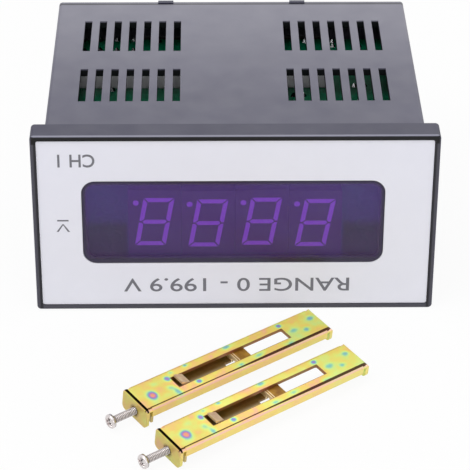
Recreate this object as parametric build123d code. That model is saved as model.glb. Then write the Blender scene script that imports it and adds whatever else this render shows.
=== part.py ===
from build123d import *
import math
import os

# Digital panel meter with a 1/8 DIN front, lying upside down on the top edge of its bezel as it is shown.
# Millimetres. X to the right, Y from the front towards the back, Z up.
# The origin is the middle of the bezel's back face, which is the face that lies on the panel.

# Front bezel
face_width = 96.0
face_height = 48.0
bezel_depth = 6.0
bezel_corner_radius = 1.0
bezel_edge = 0.4
rim_width = 1.3
recess_corner_radius = 0.6
plate_sink = 0.3
face_wall = 1.6
spigot_depth = 6.0
spigot_wall = 1.6
seat_rebate = 0.6

# Face plate and window
plate_thickness = 0.8
plate_gap = 0.1
window_width = 71.7
window_height = 22.5
window_corner_radius = 3.2
window_x = -0.45
window_rise = 0.4
window_gap = 0.12
window_sink = 0.1
filter_lip = 1.2
filter_flange = 0.8
sight_lip = 0.8

# Case
case_width = 90.0
case_height = 44.0
case_length = 69.5
case_wall = 2.0
case_edge_radius = 0.9
fit_gap = 0.1
vent_width = 1.85
vent_length_share = 0.2446
vent_pitch = 3.8
vents_in_a_row = 7
first_vent_x = 14.0
vent_row_share = [0.341, 0.728]
rail_height = 1.2
rail_reach = 2.0
rail_start = 7.0
rail_end_gap = 4.7

# Rear cover
cover_thickness = 1.4
cover_edge = 0.5
cover_spigot_depth = 4.0
cover_spigot_wall = 1.4
cover_tab_width = 3.95
cover_tab_proud = 0.25
cover_tab_x = 17.15
driver_hole_radius = 1.6

# Main board, with its solder side up
board_thickness = 1.6
board_top = 14.0
board_front = 8.0
board_back_gap = 4.9
board_rail_gap = 0.1
board_side_gap = 0.3
joint_radius = 0.85
joint_top_radius = 0.3
joint_height = 0.9
joint_sides = 5
sheet_thickness = 0.25
sheet_left = -38.6
sheet_right = 25.2
sheet_lead_gap = 0.25
sheet_depth_share = 0.39

# Display
digit_pitch = 12.8
digit_body_width = 12.6
digit_body_height = 17.6
digit_body_depth = 8.0
digit_count = 4
digit_front = -3.6
digit_drop = 0.6
digit_stagger = 0.42
figure_width = 7.4
figure_height = 13.1
segment_width = 1.1
segment_gap = 0.22
segment_depth = 0.6
figure_slant = 10.0
dot_radius = 0.75
dot_sides = 8
dot_x = -4.42
dot_z = 5.2
digit_lead_width = 0.5
digit_lead_thickness = 0.3
digit_lead_pitch = 2.54
digit_lead_rows = 15.24
digit_leads_per_row = 5
display_board_side_gap = 4.3
display_board_end_gap = 0.6
display_board_front = 5.0
lead_stub = 1.0

# Right-angle header between the two boards
header_pins_count = 16
header_pitch = 2.54
header_pin_size = 0.64
header_front = 7.1
header_back = 9.6
header_height = 2.5
header_pin_y = 10.6

# Converter chip in its socket
chip_length = 52.0
chip_width = 13.8
chip_height = 4.0
chip_x = -10.0
chip_header_gap = 1.0
chip_leads_per_side = 20
chip_row_spacing = 15.24
chip_notch_radius = 1.6
chip_notch_depth = 0.6
socket_width = 17.6
socket_height = 4.6
socket_slot_width = 8.0

# Transformer
core_width = 32.0
core_height = 26.0
core_depth_share = 0.417
core_limb = 5.2
core_x = -21.0
core_y_share = 0.549
coil_depth_share = 0.729
coil_gap = 0.2
coil_lead_radius_square = 0.8
coil_lead_inset = 1.6

# Other components on the board
electrolytic_radius = 5.0
electrolytic_sides = 20
electrolytic_length = 20.0
electrolytic_x = [3.5, 17.5]
electrolytic_back_gap = 1.2
film_length = 10.0
film_width = 4.0
film_height = 8.0
film_x = 24.4
film_y = [15.0, 21.0, 27.0]
regulator_width = 10.0
regulator_depth = 4.5
regulator_height = 9.0
regulator_tab = 1.3
regulator_tab_height = 15.5
regulator_hole_radius = 1.8
regulator_x = 33.0
regulator_y_share = 0.306
diode_radius = 1.35
diode_length = 4.0
diode_x = [-38.3, -34.1, -29.8, -25.5]
diode_back_gap = 8.3
resistor_radius = 1.2
resistor_length = 6.4
resistor_x = 35.4
resistor_count = 6
resistor_first_y = 13.0
resistor_pitch = 3.4
axial_lead = 0.6
axial_sides = 8
axial_drop = 2.4
axial_overhang = 1.3
disc_radius = 2.5
disc_thickness = 2.4
disc_sides = 12
disc_drop = 4.0
disc_lead = 0.5
front_disc_x = 16.3
front_disc_gap = 3.6
back_disc_x = 26.2
back_disc_gap = 7.9

# Trimming resistor at the back of the board
trimmer_width = 4.8
trimmer_length = 9.5
trimmer_height = 9.8
trimmer_x = 33.0
trimmer_back_gap = 7.1
trimmer_screw_radius = 1.1
trimmer_screw_out = 1.4
trimmer_screw_in = 1.2
trimmer_screw_drop = 7.0
trimmer_slot_width = 0.4
trimmer_slot_depth = 0.6
running_gap = 0.05

# Terminal block
terminal_count = 6
terminal_pitch = 7.62
terminal_end_wall = 1.0
terminal_height = 14.0
terminal_front_gap = 11.5
terminal_stand_out = 8.0
terminal_edge = 0.4
terminal_opening_gap = 0.2
well_radius = 2.2
well_depth = 3.2
well_floor = 0.6
clamp_box_width = 4.6
clamp_box_depth = 5.2
clamp_box_height = 9.6
clamp_box_wall = 0.8
clamp_box_sink = 0.6
clamp_box_gap = 0.1
terminal_pin_width = 1.0
terminal_pin_thickness = 0.8
terminal_pin_gap = 6.5
terminal_screw_radius = 1.25
terminal_head_radius = 1.95
terminal_head_height = 2.2
terminal_sides = 16
terminal_shank_sides = 8
terminal_tip_gap = 0.8
terminal_slot_width = 0.7
terminal_slot_depth = 1.0

# Mounting clamps, which are off the case and lie on the surface in front of it
clamp_length = 54.5
clamp_width = 9.2
clamp_sheet = 0.8
clamp_bend_radius = 1.0
clamp_side_height = 2.4
clamp_relief = 1.6
clamp_near_height = 5.5
clamp_far_height = 3.9
clamp_corner_radius = 1.2
clamp_window_start = 11.1
clamp_window_end = 43.8
clamp_window_width = 3.6
clamp_window_corner = 0.4
clamp_yaw = 37.5
clamp_roll = 8.0
clamp_places = [(-23.0, -52.2), (-15.4, -67.1)]
slider_sheet = 0.6
slider_gap = 0.1
slider_side_gap = 0.3
slider_ear_x = 2.2
slider_ear_drop = 5.3
slider_low_drop = 2.3
slider_step_x = 11.3
slider_riser_x = 28.6
slider_end_x = 32.6
slider_notch_length = 2.2
slider_notch_width = 4.6
hook_width = 3.2
hook_tip_x = 11.9
hook_root_x = 13.7
hook_root_rise = -0.1
hook_tip_rise = 0.8
clamp_screw_drop = 3.3
clamp_screw_radius = 0.9
clamp_screw_reach = 7.4
clamp_screw_stand = 6.2
clamp_hole_gap = 0.3
clamp_head_radius = 1.7
clamp_head_height = 1.2
clamp_head_edge = 0.5
cross_length = 2.3
cross_width = 0.5
cross_depth = 0.7

# How far a cutting shape runs past the face it cuts
overrun = 1.0

# Places worked out from the sizes above
front_y = -bezel_depth
plate_front = front_y + plate_sink
plate_back = plate_front + plate_thickness
wall_back = plate_back + face_wall
recess_width = face_width - 2 * rim_width
recess_height = face_height - 2 * rim_width
case_inner_width = case_width - 2 * case_wall
case_inner_height = case_height - 2 * case_wall
cover_back = case_length + cover_thickness
board_bottom = board_top - board_thickness
floor_z = -face_height / 2
terminal_back = cover_back + terminal_stand_out
terminal_width = terminal_count * terminal_pitch + 2 * terminal_end_wall
terminal_z = board_bottom - terminal_height / 2
vent_length = vent_length_share * case_length
vent_row_y = [share * case_length for share in vent_row_share]
rail_end = case_length - rail_end_gap
board_back = case_length - board_back_gap
spigot_room_width = case_inner_width - 2 * (fit_gap + spigot_wall)
spigot_room_height = case_inner_height - 2 * (fit_gap + spigot_wall)
display_board_width = spigot_room_width - 2 * display_board_side_gap
display_board_top = spigot_room_height / 2 - display_board_end_gap
chip_y = header_pin_y + chip_header_gap + socket_width / 2
socket_back = chip_y + socket_width / 2
terminal_front = case_length - terminal_front_gap
terminal_pin_y = case_length - terminal_pin_gap
diode_y = case_length - diode_back_gap
trimmer_back = case_length - trimmer_back_gap
room = terminal_front - socket_back
core_y = socket_back + core_y_share * room
core_depth = core_depth_share * room
coil_depth = coil_depth_share * room
coil_lead_reach = coil_depth / 2 - coil_lead_inset
electrolytic_y = terminal_front - electrolytic_back_gap - electrolytic_radius
regulator_y = socket_back + regulator_y_share * room
sheet_front = core_y - coil_lead_reach + joint_radius + sheet_lead_gap
sheet_back = sheet_front + sheet_depth_share * 2 * coil_lead_reach
resistor_y = [resistor_first_y + index * resistor_pitch for index in range(resistor_count)]
front_disc_y = socket_back + front_disc_gap
back_disc_y = case_length - back_disc_gap


def front_slab(outline, y_front, y_back):
    """Extrude an outline drawn in X and Z from one depth to another."""
    plane = Plane(origin=(0, y_back, 0), x_dir=(1, 0, 0), z_dir=(0, -1, 0))
    return extrude(plane * outline, amount=y_back - y_front)


def side_slab(outline, x_low, x_high):
    """Extrude an outline drawn in Y and Z along X."""
    plane = Plane(origin=(x_low, 0, 0), x_dir=(0, 1, 0), z_dir=(1, 0, 0))
    return extrude(plane * outline, amount=x_high - x_low)


def block(x_low, x_high, y_low, y_high, z_low, z_high):
    """A box from its low and high corners."""
    middle = Pos((x_low + x_high) / 2, (y_low + y_high) / 2, (z_low + z_high) / 2)
    return middle * Box(x_high - x_low, y_high - y_low, z_high - z_low)


def centred_block(x, y, width, depth, z_low, z_high):
    """A box round a point of the X and Y plane."""
    return block(x - width / 2, x + width / 2, y - depth / 2, y + depth / 2, z_low, z_high)


def rod_y(x, z, radius, y_low, y_high):
    """A round rod along Y."""
    return Pos(x, (y_low + y_high) / 2, z) * Rot(90, 0, 0) * Cylinder(radius, y_high - y_low)


def prism_y(x, z, radius, sides, y_low, y_high):
    """A many-sided rod along Y whose flats touch the circle of its radius."""
    return front_slab(Pos(x, z) * RegularPolygon(radius, sides, major_radius=False), y_low, y_high)


def rod_x(y, z, radius, x_low, x_high):
    """A round rod along X."""
    return Pos((x_low + x_high) / 2, y, z) * Rot(0, 90, 0) * Cylinder(radius, x_high - x_low)


def evenly(count, pitch):
    """Places of a centred row."""
    return [(index - (count - 1) / 2) * pitch for index in range(count)]


def save(node, solids):
    """Write one node, which is a single solid or a group of separate solids."""
    shape = Compound(children=list(solids)) if isinstance(solids, (list, tuple)) else solids
    export_step(shape, os.path.join("parts", node + ".step"))


def window_outline(margin):
    """The window's rounded outline, grown by a margin."""
    width = window_width + 2 * margin
    height = window_height + 2 * margin
    outline = RectangleRounded(width, height, window_corner_radius + margin)
    return Pos(window_x, window_rise) * outline


def make_bezel():
    """Front frame: a recess for the plate, a rebate for the window, a rebate for the case and a spigot."""
    body = front_slab(RectangleRounded(face_width, face_height, bezel_corner_radius), front_y, 0)
    body = chamfer(body.faces().sort_by(Axis.Y)[0].edges(), bezel_edge)
    recess = RectangleRounded(recess_width, recess_height, recess_corner_radius)
    body -= front_slab(recess, front_y - overrun, plate_back)
    seat_width = case_width + 2 * fit_gap
    seat_height = case_height + 2 * fit_gap
    case_edge = RectangleRounded(seat_width, seat_height, case_edge_radius + fit_gap)
    body -= front_slab(case_edge, -seat_rebate, overrun)
    spigot_width = case_inner_width - 2 * fit_gap
    spigot_height = case_inner_height - 2 * fit_gap
    body += front_slab(Rectangle(spigot_width, spigot_height), -overrun, spigot_depth)
    hollow = Rectangle(spigot_width - 2 * spigot_wall, spigot_height - 2 * spigot_wall)
    body -= front_slab(hollow, wall_back, spigot_depth + overrun)
    rebate = window_outline(filter_lip + window_gap)
    body -= front_slab(rebate, plate_back - overrun, plate_back + filter_flange)
    body -= front_slab(window_outline(-sight_lip), plate_back, wall_back + overrun)
    return body


def make_face_plate():
    """Thin printed plate with the window cut out."""
    width = recess_width - 2 * plate_gap
    height = recess_height - 2 * plate_gap
    outline = RectangleRounded(width, height, recess_corner_radius)
    return front_slab(outline - window_outline(window_gap), plate_front, plate_back)


def make_window():
    """Tinted window: its front stands in the plate's opening and its lip is held behind the plate."""
    front = front_slab(window_outline(0), plate_front + window_sink, plate_back)
    lip = front_slab(window_outline(filter_lip), plate_back, plate_back + filter_flange)
    return front + lip


def make_case():
    """Sleeve with two rows of vents in two groups on both broad sides, and a rail pair on each side wall."""
    outer = front_slab(RectangleRounded(case_width, case_height, case_edge_radius), -seat_rebate, case_length)
    inner = front_slab(Rectangle(case_inner_width, case_inner_height), -2 * overrun, case_length + overrun)
    body = outer - inner
    vents = []
    for side in (-1, 1):
        wall_middle = side * (case_height - case_wall) / 2
        low = wall_middle - case_wall / 2 - overrun
        high = wall_middle + case_wall / 2 + overrun
        for y in vent_row_y:
            for index in range(vents_in_a_row):
                x = first_vent_x + index * vent_pitch
                vents.append(centred_block(x, y, vent_width, vent_length, low, high))
                vents.append(centred_block(-x, y, vent_width, vent_length, low, high))
    body -= vents
    for side in (-1, 1):
        wall = side * case_inner_width / 2
        x_low, x_high = sorted((wall, wall - side * rail_reach))
        below = board_bottom - board_rail_gap
        above = board_top + board_rail_gap
        body += block(x_low, x_high, rail_start, rail_end, below - rail_height, below)
        body += block(x_low, x_high, rail_start, rail_end, above, above + rail_height)
    return body


def make_rear_cover():
    """Back plate with a spigot, an opening for the terminals, a driver hole and four finger tabs."""
    plate = front_slab(RectangleRounded(case_width, case_height, case_edge_radius), case_length, cover_back)
    plate = chamfer(plate.faces().sort_by(Axis.Y)[-1].edges(), cover_edge)
    spigot_width = case_inner_width - 2 * fit_gap
    spigot_height = case_inner_height - 2 * fit_gap
    ring = Rectangle(spigot_width, spigot_height)
    ring -= Rectangle(spigot_width - 2 * cover_spigot_wall, spigot_height - 2 * cover_spigot_wall)
    body = plate + front_slab(ring, case_length - cover_spigot_depth, case_length + cover_thickness / 2)
    for side in (-1, 1):
        inner = side * (case_height / 2 - cover_thickness)
        outer = side * (case_height / 2 + cover_tab_proud)
        z_low, z_high = sorted((inner, outer))
        for x in (-cover_tab_x, cover_tab_x):
            half = cover_tab_width / 2
            body += block(x - half, x + half, case_length, cover_back, z_low, z_high)
    opening = Rectangle(terminal_width + 2 * terminal_opening_gap, terminal_height + 2 * terminal_opening_gap)
    body -= front_slab(Pos(0, terminal_z) * opening, case_length - overrun, cover_back + overrun)
    driver_z = board_bottom - trimmer_screw_drop
    body -= rod_y(trimmer_x, driver_z, driver_hole_radius, case_length - overrun, cover_back + overrun)
    return body


def slanted(points):
    """Lean a figure's points to the right by the figure's slant."""
    lean = math.tan(math.radians(figure_slant))
    return [(x + z * lean, z) for x, z in points]


def segment_outlines():
    """The seven mitred bars of a figure eight and its decimal point, round the figure's middle."""
    side, top, bar, gap = figure_width / 2, figure_height / 2, segment_width, segment_gap
    level = [(-side + gap, top), (side - gap, top), (side - gap - bar, top - bar),
             (-side + gap + bar, top - bar)]
    middle = [(-side + bar / 2 + gap, 0), (-side + bar + gap, bar / 2), (side - bar - gap, bar / 2),
              (side - bar / 2 - gap, 0), (side - bar - gap, -bar / 2), (-side + bar + gap, -bar / 2)]
    upright = [(side, top - gap), (side, gap), (side - bar / 2, gap), (side - bar, bar / 2 + gap),
               (side - bar, top - bar - gap)]
    bars = [level, [(x, -z) for x, z in level], middle]
    for across in (-1, 1):
        for up in (-1, 1):
            bars.append([(across * x, up * z) for x, z in upright])
    outlines = [make_face(Polyline(*slanted(points), close=True)) for points in bars]
    outlines.append(Pos(dot_x, dot_z) * RegularPolygon(dot_radius, dot_sides))
    return outlines


def digit_place(index):
    """Middle of a digit in X and Z: every second module sits a little lower."""
    x = evenly(digit_count, digit_pitch)[index]
    z = -digit_drop - (digit_stagger if index % 2 else 0)
    return x, z


def digit_lead_places(index):
    """Places of a digit's leads in X and Z."""
    x, z = digit_place(index)
    places = []
    for row in (-1, 1):
        for offset in evenly(digit_leads_per_row, digit_lead_pitch):
            places.append((x + offset, z + row * digit_lead_rows / 2))
    return places


def make_digit(index):
    """One display module with its segment pockets and leads."""
    x, z = digit_place(index)
    back = digit_front + digit_body_depth
    body = front_slab(Pos(x, z) * Rectangle(digit_body_width, digit_body_height), digit_front, back)
    pockets = [front_slab(Pos(x, z) * outline, digit_front - overrun, digit_front + segment_depth)
               for outline in segment_outlines()]
    body -= pockets
    for lead_x, lead_z in digit_lead_places(index):
        lead = Pos(lead_x, lead_z) * Rectangle(digit_lead_width, digit_lead_thickness)
        body += front_slab(lead, back, display_board_front)
    return body


def make_segments(index):
    """The eight light bars of one digit, flush with the module's face."""
    x, z = digit_place(index)
    return [front_slab(Pos(x, z) * outline, digit_front, digit_front + segment_depth)
            for outline in segment_outlines()]


def header_pin_places():
    """X places of the header's pins."""
    return evenly(header_pins_count, header_pitch)


def header_level():
    """Height of the header pins' level run."""
    return board_bottom - header_height / 2


def make_display_board():
    """Upright board that carries the digits, with a hole for every header pin."""
    back = display_board_front + board_thickness
    half = display_board_width / 2
    body = block(-half, half, display_board_front, back, -display_board_top, display_board_top)
    holes = []
    low, high = display_board_front - overrun, back + overrun
    half_pin = header_pin_size / 2
    for x in header_pin_places():
        pin_low, pin_high = header_level() - half_pin, header_level() + half_pin
        holes.append(block(x - half_pin, x + half_pin, low, high, pin_low, pin_high))
    return body - holes


def make_header_pins():
    """Bent pins that join the display board to the main board."""
    half = header_pin_size / 2
    start = display_board_front - lead_stub
    pins = []
    for x in header_pin_places():
        section = Pos(x, header_level()) * Rectangle(header_pin_size, header_pin_size)
        level = front_slab(section, start, header_pin_y + half)
        rise = centred_block(x, header_pin_y, header_pin_size, header_pin_size, header_level(), board_top)
        pins.append(level + rise)
    return pins


def make_header_body():
    """Plastic strip round the header pins, against the underside of the main board."""
    half = header_pins_count * header_pitch / 2
    body = block(-half, half, header_front, header_back, board_bottom - header_height, board_bottom)
    half_pin = header_pin_size / 2
    holes = [block(x - half_pin, x + half_pin, header_front - overrun, header_back + overrun,
                   header_level() - half_pin, header_level() + half_pin) for x in header_pin_places()]
    return body - holes


def chip_lead_places():
    """Places of the socket's leads in X and Y."""
    places = []
    for row in (-1, 1):
        for offset in evenly(chip_leads_per_side, header_pitch):
            places.append((chip_x + offset, chip_y + row * chip_row_spacing / 2))
    return places


def coil_lead_places():
    """Places of the transformer's leads in X and Y, at the corners of its coil former."""
    half_x = core_width / 2 - core_limb - coil_lead_inset
    return [(core_x + a * half_x, core_y + b * coil_lead_reach) for a in (-1, 1) for b in (-1, 1)]


def terminal_places():
    """X places of the terminals."""
    return evenly(terminal_count, terminal_pitch)


def through_lead_places():
    """Every lead that passes through the main board, with its size in X and Y."""
    places = [(x, header_pin_y, header_pin_size, header_pin_size) for x in header_pin_places()]
    places += [(x, y, coil_lead_radius_square, coil_lead_radius_square) for x, y in coil_lead_places()]
    places += [(x, terminal_pin_y, terminal_pin_width, terminal_pin_thickness) for x in terminal_places()]
    return places


def surface_lead_places():
    """Places of the small components' leads, which end at the underside of the main board."""
    places = chip_lead_places()
    for x in electrolytic_x:
        half = electrolytic_radius / 2
        places += [(x - half, electrolytic_y), (x + half, electrolytic_y)]
    for y in film_y:
        places += [(film_x - film_length / 3, y), (film_x + film_length / 3, y)]
    for y in resistor_y:
        half = resistor_length / 2 + axial_overhang - axial_lead / 2
        places += [(resistor_x - half, y), (resistor_x + half, y)]
    for x in diode_x:
        half = diode_length / 2 + axial_overhang - axial_lead / 2
        places += [(x, diode_y - half), (x, diode_y + half)]
    for offset in evenly(2, digit_lead_pitch):
        places += [(front_disc_x + offset, front_disc_y), (back_disc_x, back_disc_y + offset)]
    for offset in evenly(3, digit_lead_pitch):
        places.append((regulator_x + offset, regulator_y))
        places.append((trimmer_x, trimmer_back - trimmer_length / 2 + offset))
    return places


def make_main_board():
    """Board on the case's rails, with a hole for each through lead."""
    half = case_inner_width / 2 - board_side_gap
    body = block(-half, half, board_front, board_back, board_bottom, board_top)
    holes = [centred_block(x, y, width, depth, board_bottom - overrun, board_top + overrun)
             for x, y, width, depth in through_lead_places()]
    return body - holes


def make_solder_joints():
    """A solder cone on the board's upper side over each lead."""
    spots = [(x, y) for x, y, _, _ in through_lead_places()] + surface_lead_places()
    taper = math.degrees(math.atan((joint_radius - joint_top_radius) / joint_height))
    cone = extrude(RegularPolygon(joint_radius, joint_sides), amount=joint_height, taper=taper)
    return [Pos(x, y, board_top) * cone for x, y in spots]


def make_sheet():
    """Pale insulating sheet on the solder side, under the front vents."""
    return block(sheet_left, sheet_right, sheet_front, sheet_back, board_top, board_top + sheet_thickness)


def make_socket():
    """Chip socket, an open frame against the board."""
    half = chip_length / 2
    low = board_bottom - socket_height
    body = centred_block(chip_x, chip_y, 2 * half, socket_width, low, board_bottom)
    slot_x = chip_length / 2 - socket_height
    slot_y = socket_slot_width / 2
    return body - block(chip_x - slot_x, chip_x + slot_x, chip_y - slot_y, chip_y + slot_y, low - overrun,
                        board_bottom + overrun)


def make_chip():
    """Converter chip seated on its socket, with the notch at one end."""
    half = chip_length / 2
    top = board_bottom - socket_height
    low = top - chip_height
    body = centred_block(chip_x, chip_y, chip_length, chip_width, low, top)
    notch = Pos(chip_x - half, chip_y, low) * Cylinder(chip_notch_radius, 2 * chip_notch_depth)
    return body - notch


def make_transformer_core():
    """Stack of laminations with two windows for the coil."""
    outline = Rectangle(core_width, core_height)
    opening = Rectangle(core_width / 2 - 1.5 * core_limb, core_height - 2 * core_limb)
    shift = core_width / 4 - core_limb / 4
    outline -= Pos(-shift, 0) * opening
    outline -= Pos(shift, 0) * opening
    z = board_bottom - coil_lead_inset - core_height / 2
    return front_slab(Pos(core_x, z) * outline, core_y - core_depth / 2, core_y + core_depth / 2)


def make_transformer_coil():
    """Coil and former round the middle limb, with four leads up through the board."""
    z = board_bottom - coil_lead_inset - core_height / 2
    outer_width = core_width - 2 * core_limb - 2 * coil_gap
    outer_height = core_height - 2 * core_limb - 2 * coil_gap
    limb = block(core_x - core_limb / 2 - coil_gap, core_x + core_limb / 2 + coil_gap,
                 core_y - core_depth / 2 - coil_gap, core_y + core_depth / 2 + coil_gap,
                 z - core_height / 2, z + core_height / 2)
    body = centred_block(core_x, core_y, outer_width, coil_depth, z - outer_height / 2, z + outer_height / 2)
    body -= limb
    for x, y in coil_lead_places():
        body += centred_block(x, y, coil_lead_radius_square, coil_lead_radius_square, z, board_top)
    return body


def make_electrolytics():
    """Two upright cans that hang from the board."""
    can = extrude(RegularPolygon(electrolytic_radius, electrolytic_sides), amount=electrolytic_length)
    return [Pos(x, electrolytic_y, board_bottom - electrolytic_length) * can for x in electrolytic_x]


def make_film_capacitors():
    """Three box capacitors in a row."""
    low = board_bottom - film_height
    return [centred_block(film_x, y, film_length, film_width, low, board_bottom) for y in film_y]


def disc_part(x, y, along_y):
    """A disc capacitor that hangs from the board on two leads."""
    z = board_bottom - disc_drop
    body = front_slab(RegularPolygon(disc_radius, disc_sides), -disc_thickness / 2, disc_thickness / 2)
    for offset in evenly(2, digit_lead_pitch):
        body += centred_block(offset, 0, disc_lead, disc_lead, 0, disc_drop)
    turn = Rot(0, 0, 90) if along_y else Rot(0, 0, 0)
    return Pos(x, y, z) * turn * body


def make_disc_capacitors():
    """Two small disc capacitors, one across the board and one along it."""
    return [disc_part(front_disc_x, front_disc_y, False), disc_part(back_disc_x, back_disc_y, True)]


def make_regulator():
    """Upright regulator with its metal tab."""
    low = board_bottom - regulator_tab_height
    back = regulator_y + regulator_depth / 2
    body = centred_block(regulator_x, regulator_y, regulator_width, regulator_depth,
                         board_bottom - regulator_height, board_bottom)
    half = regulator_width / 2
    body += block(regulator_x - half, regulator_x + half, back - regulator_tab, back, low, board_bottom)
    hole_z = low + 2 * regulator_hole_radius
    hole_front = back - regulator_tab - overrun
    return body - rod_y(regulator_x, hole_z, regulator_hole_radius, hole_front, back + overrun)


def axial_part(x, y, radius, length, along_y):
    """A lying component with two leads bent up to the board."""
    z = board_bottom - axial_drop
    half = length / 2
    reach = half + axial_overhang
    lead = axial_lead / 2
    body = side_slab(RegularPolygon(radius, axial_sides), -half, half)
    body += block(-reach, reach, -lead, lead, -lead, lead)
    for side in (-1, 1):
        x_low, x_high = sorted((side * reach, side * (reach - axial_lead)))
        body += block(x_low, x_high, -lead, lead, -lead, axial_drop)
    turn = Rot(0, 0, 90) if along_y else Rot(0, 0, 0)
    return Pos(x, y, z) * turn * body


def make_trimmer():
    """Trimming resistor with a round socket for its screw."""
    front = trimmer_back - trimmer_length
    body = block(trimmer_x - trimmer_width / 2, trimmer_x + trimmer_width / 2, front, trimmer_back,
                 board_bottom - trimmer_height, board_bottom)
    z = board_bottom - trimmer_screw_drop
    return body - rod_y(trimmer_x, z, trimmer_screw_radius + running_gap, trimmer_back - trimmer_screw_in,
                        trimmer_back + overrun)


def make_trimmer_screw():
    """Slotted brass screw that sets the trimmer."""
    z = board_bottom - trimmer_screw_drop
    out = trimmer_back + trimmer_screw_out
    body = rod_y(trimmer_x, z, trimmer_screw_radius, trimmer_back - trimmer_screw_in, out)
    half = trimmer_slot_width / 2
    return body - block(trimmer_x - half, trimmer_x + half, out - trimmer_slot_depth, out + overrun,
                        z - trimmer_screw_radius - overrun, z + trimmer_screw_radius + overrun)


def clamp_box_back():
    """Depth of the back face of the terminals' clamp boxes."""
    return terminal_back - well_depth - well_floor


def clamp_box_low():
    """Height of the clamp boxes' open end."""
    return board_bottom - terminal_height + clamp_box_sink


def make_clamp_box(x):
    """One terminal's metal clamp box with its pin up through the board."""
    back, low = clamp_box_back(), clamp_box_low()
    front, high = back - clamp_box_depth, low + clamp_box_height
    body = block(x - clamp_box_width / 2, x + clamp_box_width / 2, front, back, low, high)
    half = clamp_box_width / 2 - clamp_box_wall
    body -= block(x - half, x + half, front + clamp_box_wall, back - clamp_box_wall, low - overrun,
                  high - clamp_box_wall)
    pin_half = terminal_pin_width / 2
    pin_front = terminal_pin_y - terminal_pin_thickness / 2
    pin_back = terminal_pin_y + terminal_pin_thickness / 2
    pin_low = high - terminal_pin_thickness
    body += block(x - pin_half, x + pin_half, pin_front, front + clamp_box_wall, pin_low, high)
    body += block(x - pin_half, x + pin_half, pin_front, pin_back, pin_low, board_top)
    hole_radius = terminal_screw_radius + running_gap
    hole_front = back - clamp_box_wall - overrun
    return body - prism_y(x, terminal_z, hole_radius, terminal_sides, hole_front, back + overrun)


def make_terminal_block():
    """Moulded block: driver wells at the back, wire entries below, and a channel for each clamp box."""
    half = terminal_width / 2
    bottom = board_bottom - terminal_height
    body = block(-half, half, terminal_front, terminal_back, bottom, board_bottom)
    body = chamfer(body.faces().sort_by(Axis.Y)[-1].edges(), terminal_edge)
    back, low = clamp_box_back(), clamp_box_low()
    front, high = back - clamp_box_depth, low + clamp_box_height
    gap = clamp_box_gap
    cuts = []
    for x in terminal_places():
        box_half = clamp_box_width / 2 + gap
        cuts.append(block(x - box_half, x + box_half, front - gap, back + gap, bottom - overrun, high + gap))
        pin_half = terminal_pin_width / 2 + gap
        pin_front = terminal_pin_y - terminal_pin_thickness / 2 - gap
        pin_back = terminal_pin_y + terminal_pin_thickness / 2 + gap
        pin_low = high - terminal_pin_thickness - gap
        cuts.append(block(x - pin_half, x + pin_half, pin_front, front, pin_low, high + gap))
        cuts.append(block(x - pin_half, x + pin_half, pin_front, pin_back, pin_low, board_bottom + overrun))
        cuts.append(prism_y(x, terminal_z, well_radius, terminal_sides, terminal_back - well_depth,
                            terminal_back + overrun))
        way = terminal_screw_radius + clamp_hole_gap
        cuts.append(block(x - way, x + way, back - overrun, terminal_back - well_depth + overrun,
                          terminal_z - way, terminal_z + way))
    return body - cuts


def make_terminal_screw(x):
    """One terminal screw, screwed down: a slotted head in its well and a shank into the clamp box."""
    head_low = terminal_back - well_depth
    head_high = head_low + terminal_head_height
    tip = clamp_box_back() - clamp_box_depth + clamp_box_wall + terminal_tip_gap
    body = prism_y(x, terminal_z, terminal_head_radius, terminal_sides, head_low, head_high)
    shank = Pos(x, terminal_z) * RegularPolygon(terminal_screw_radius, terminal_shank_sides)
    body += front_slab(shank, tip, head_low)
    half = terminal_slot_width / 2
    reach = terminal_head_radius + overrun
    return body - block(x - half, x + half, head_high - terminal_slot_depth, head_high + overrun,
                        terminal_z - reach, terminal_z + reach)


def clamp_placement(index):
    """Where one clamp lies: turned and leaning a little, with its deepest corner on the surface."""
    lean = math.radians(clamp_roll)
    across = clamp_width / 2 - clamp_corner_radius
    down = clamp_near_height - clamp_corner_radius
    rest = across * math.sin(lean) + down * math.cos(lean) + clamp_corner_radius
    x, y = clamp_places[index]
    return Pos(x, y, floor_z + rest) * Rot(0, 0, clamp_yaw) * Rot(clamp_roll, 0, 0)


def clamp_end(height):
    """Sheet bent down at the near end of a clamp, with its lower corners rounded."""
    outer = Pos(clamp_relief / 2, -height / 2) * Rectangle(clamp_relief, height)
    outer = fillet(outer.vertices().group_by(Axis.Y)[-1].sort_by(Axis.X)[0], clamp_bend_radius)
    inner = Pos((clamp_sheet + clamp_relief) / 2, -(clamp_sheet + height) / 2) * Rectangle(
        clamp_relief - clamp_sheet, height - clamp_sheet)
    half = clamp_width / 2
    body = front_slab(outer - inner, -half, half)
    corners = body.edges().filter_by(Axis.X).group_by(Axis.Z)[0]
    return fillet(corners, clamp_corner_radius)


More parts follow.
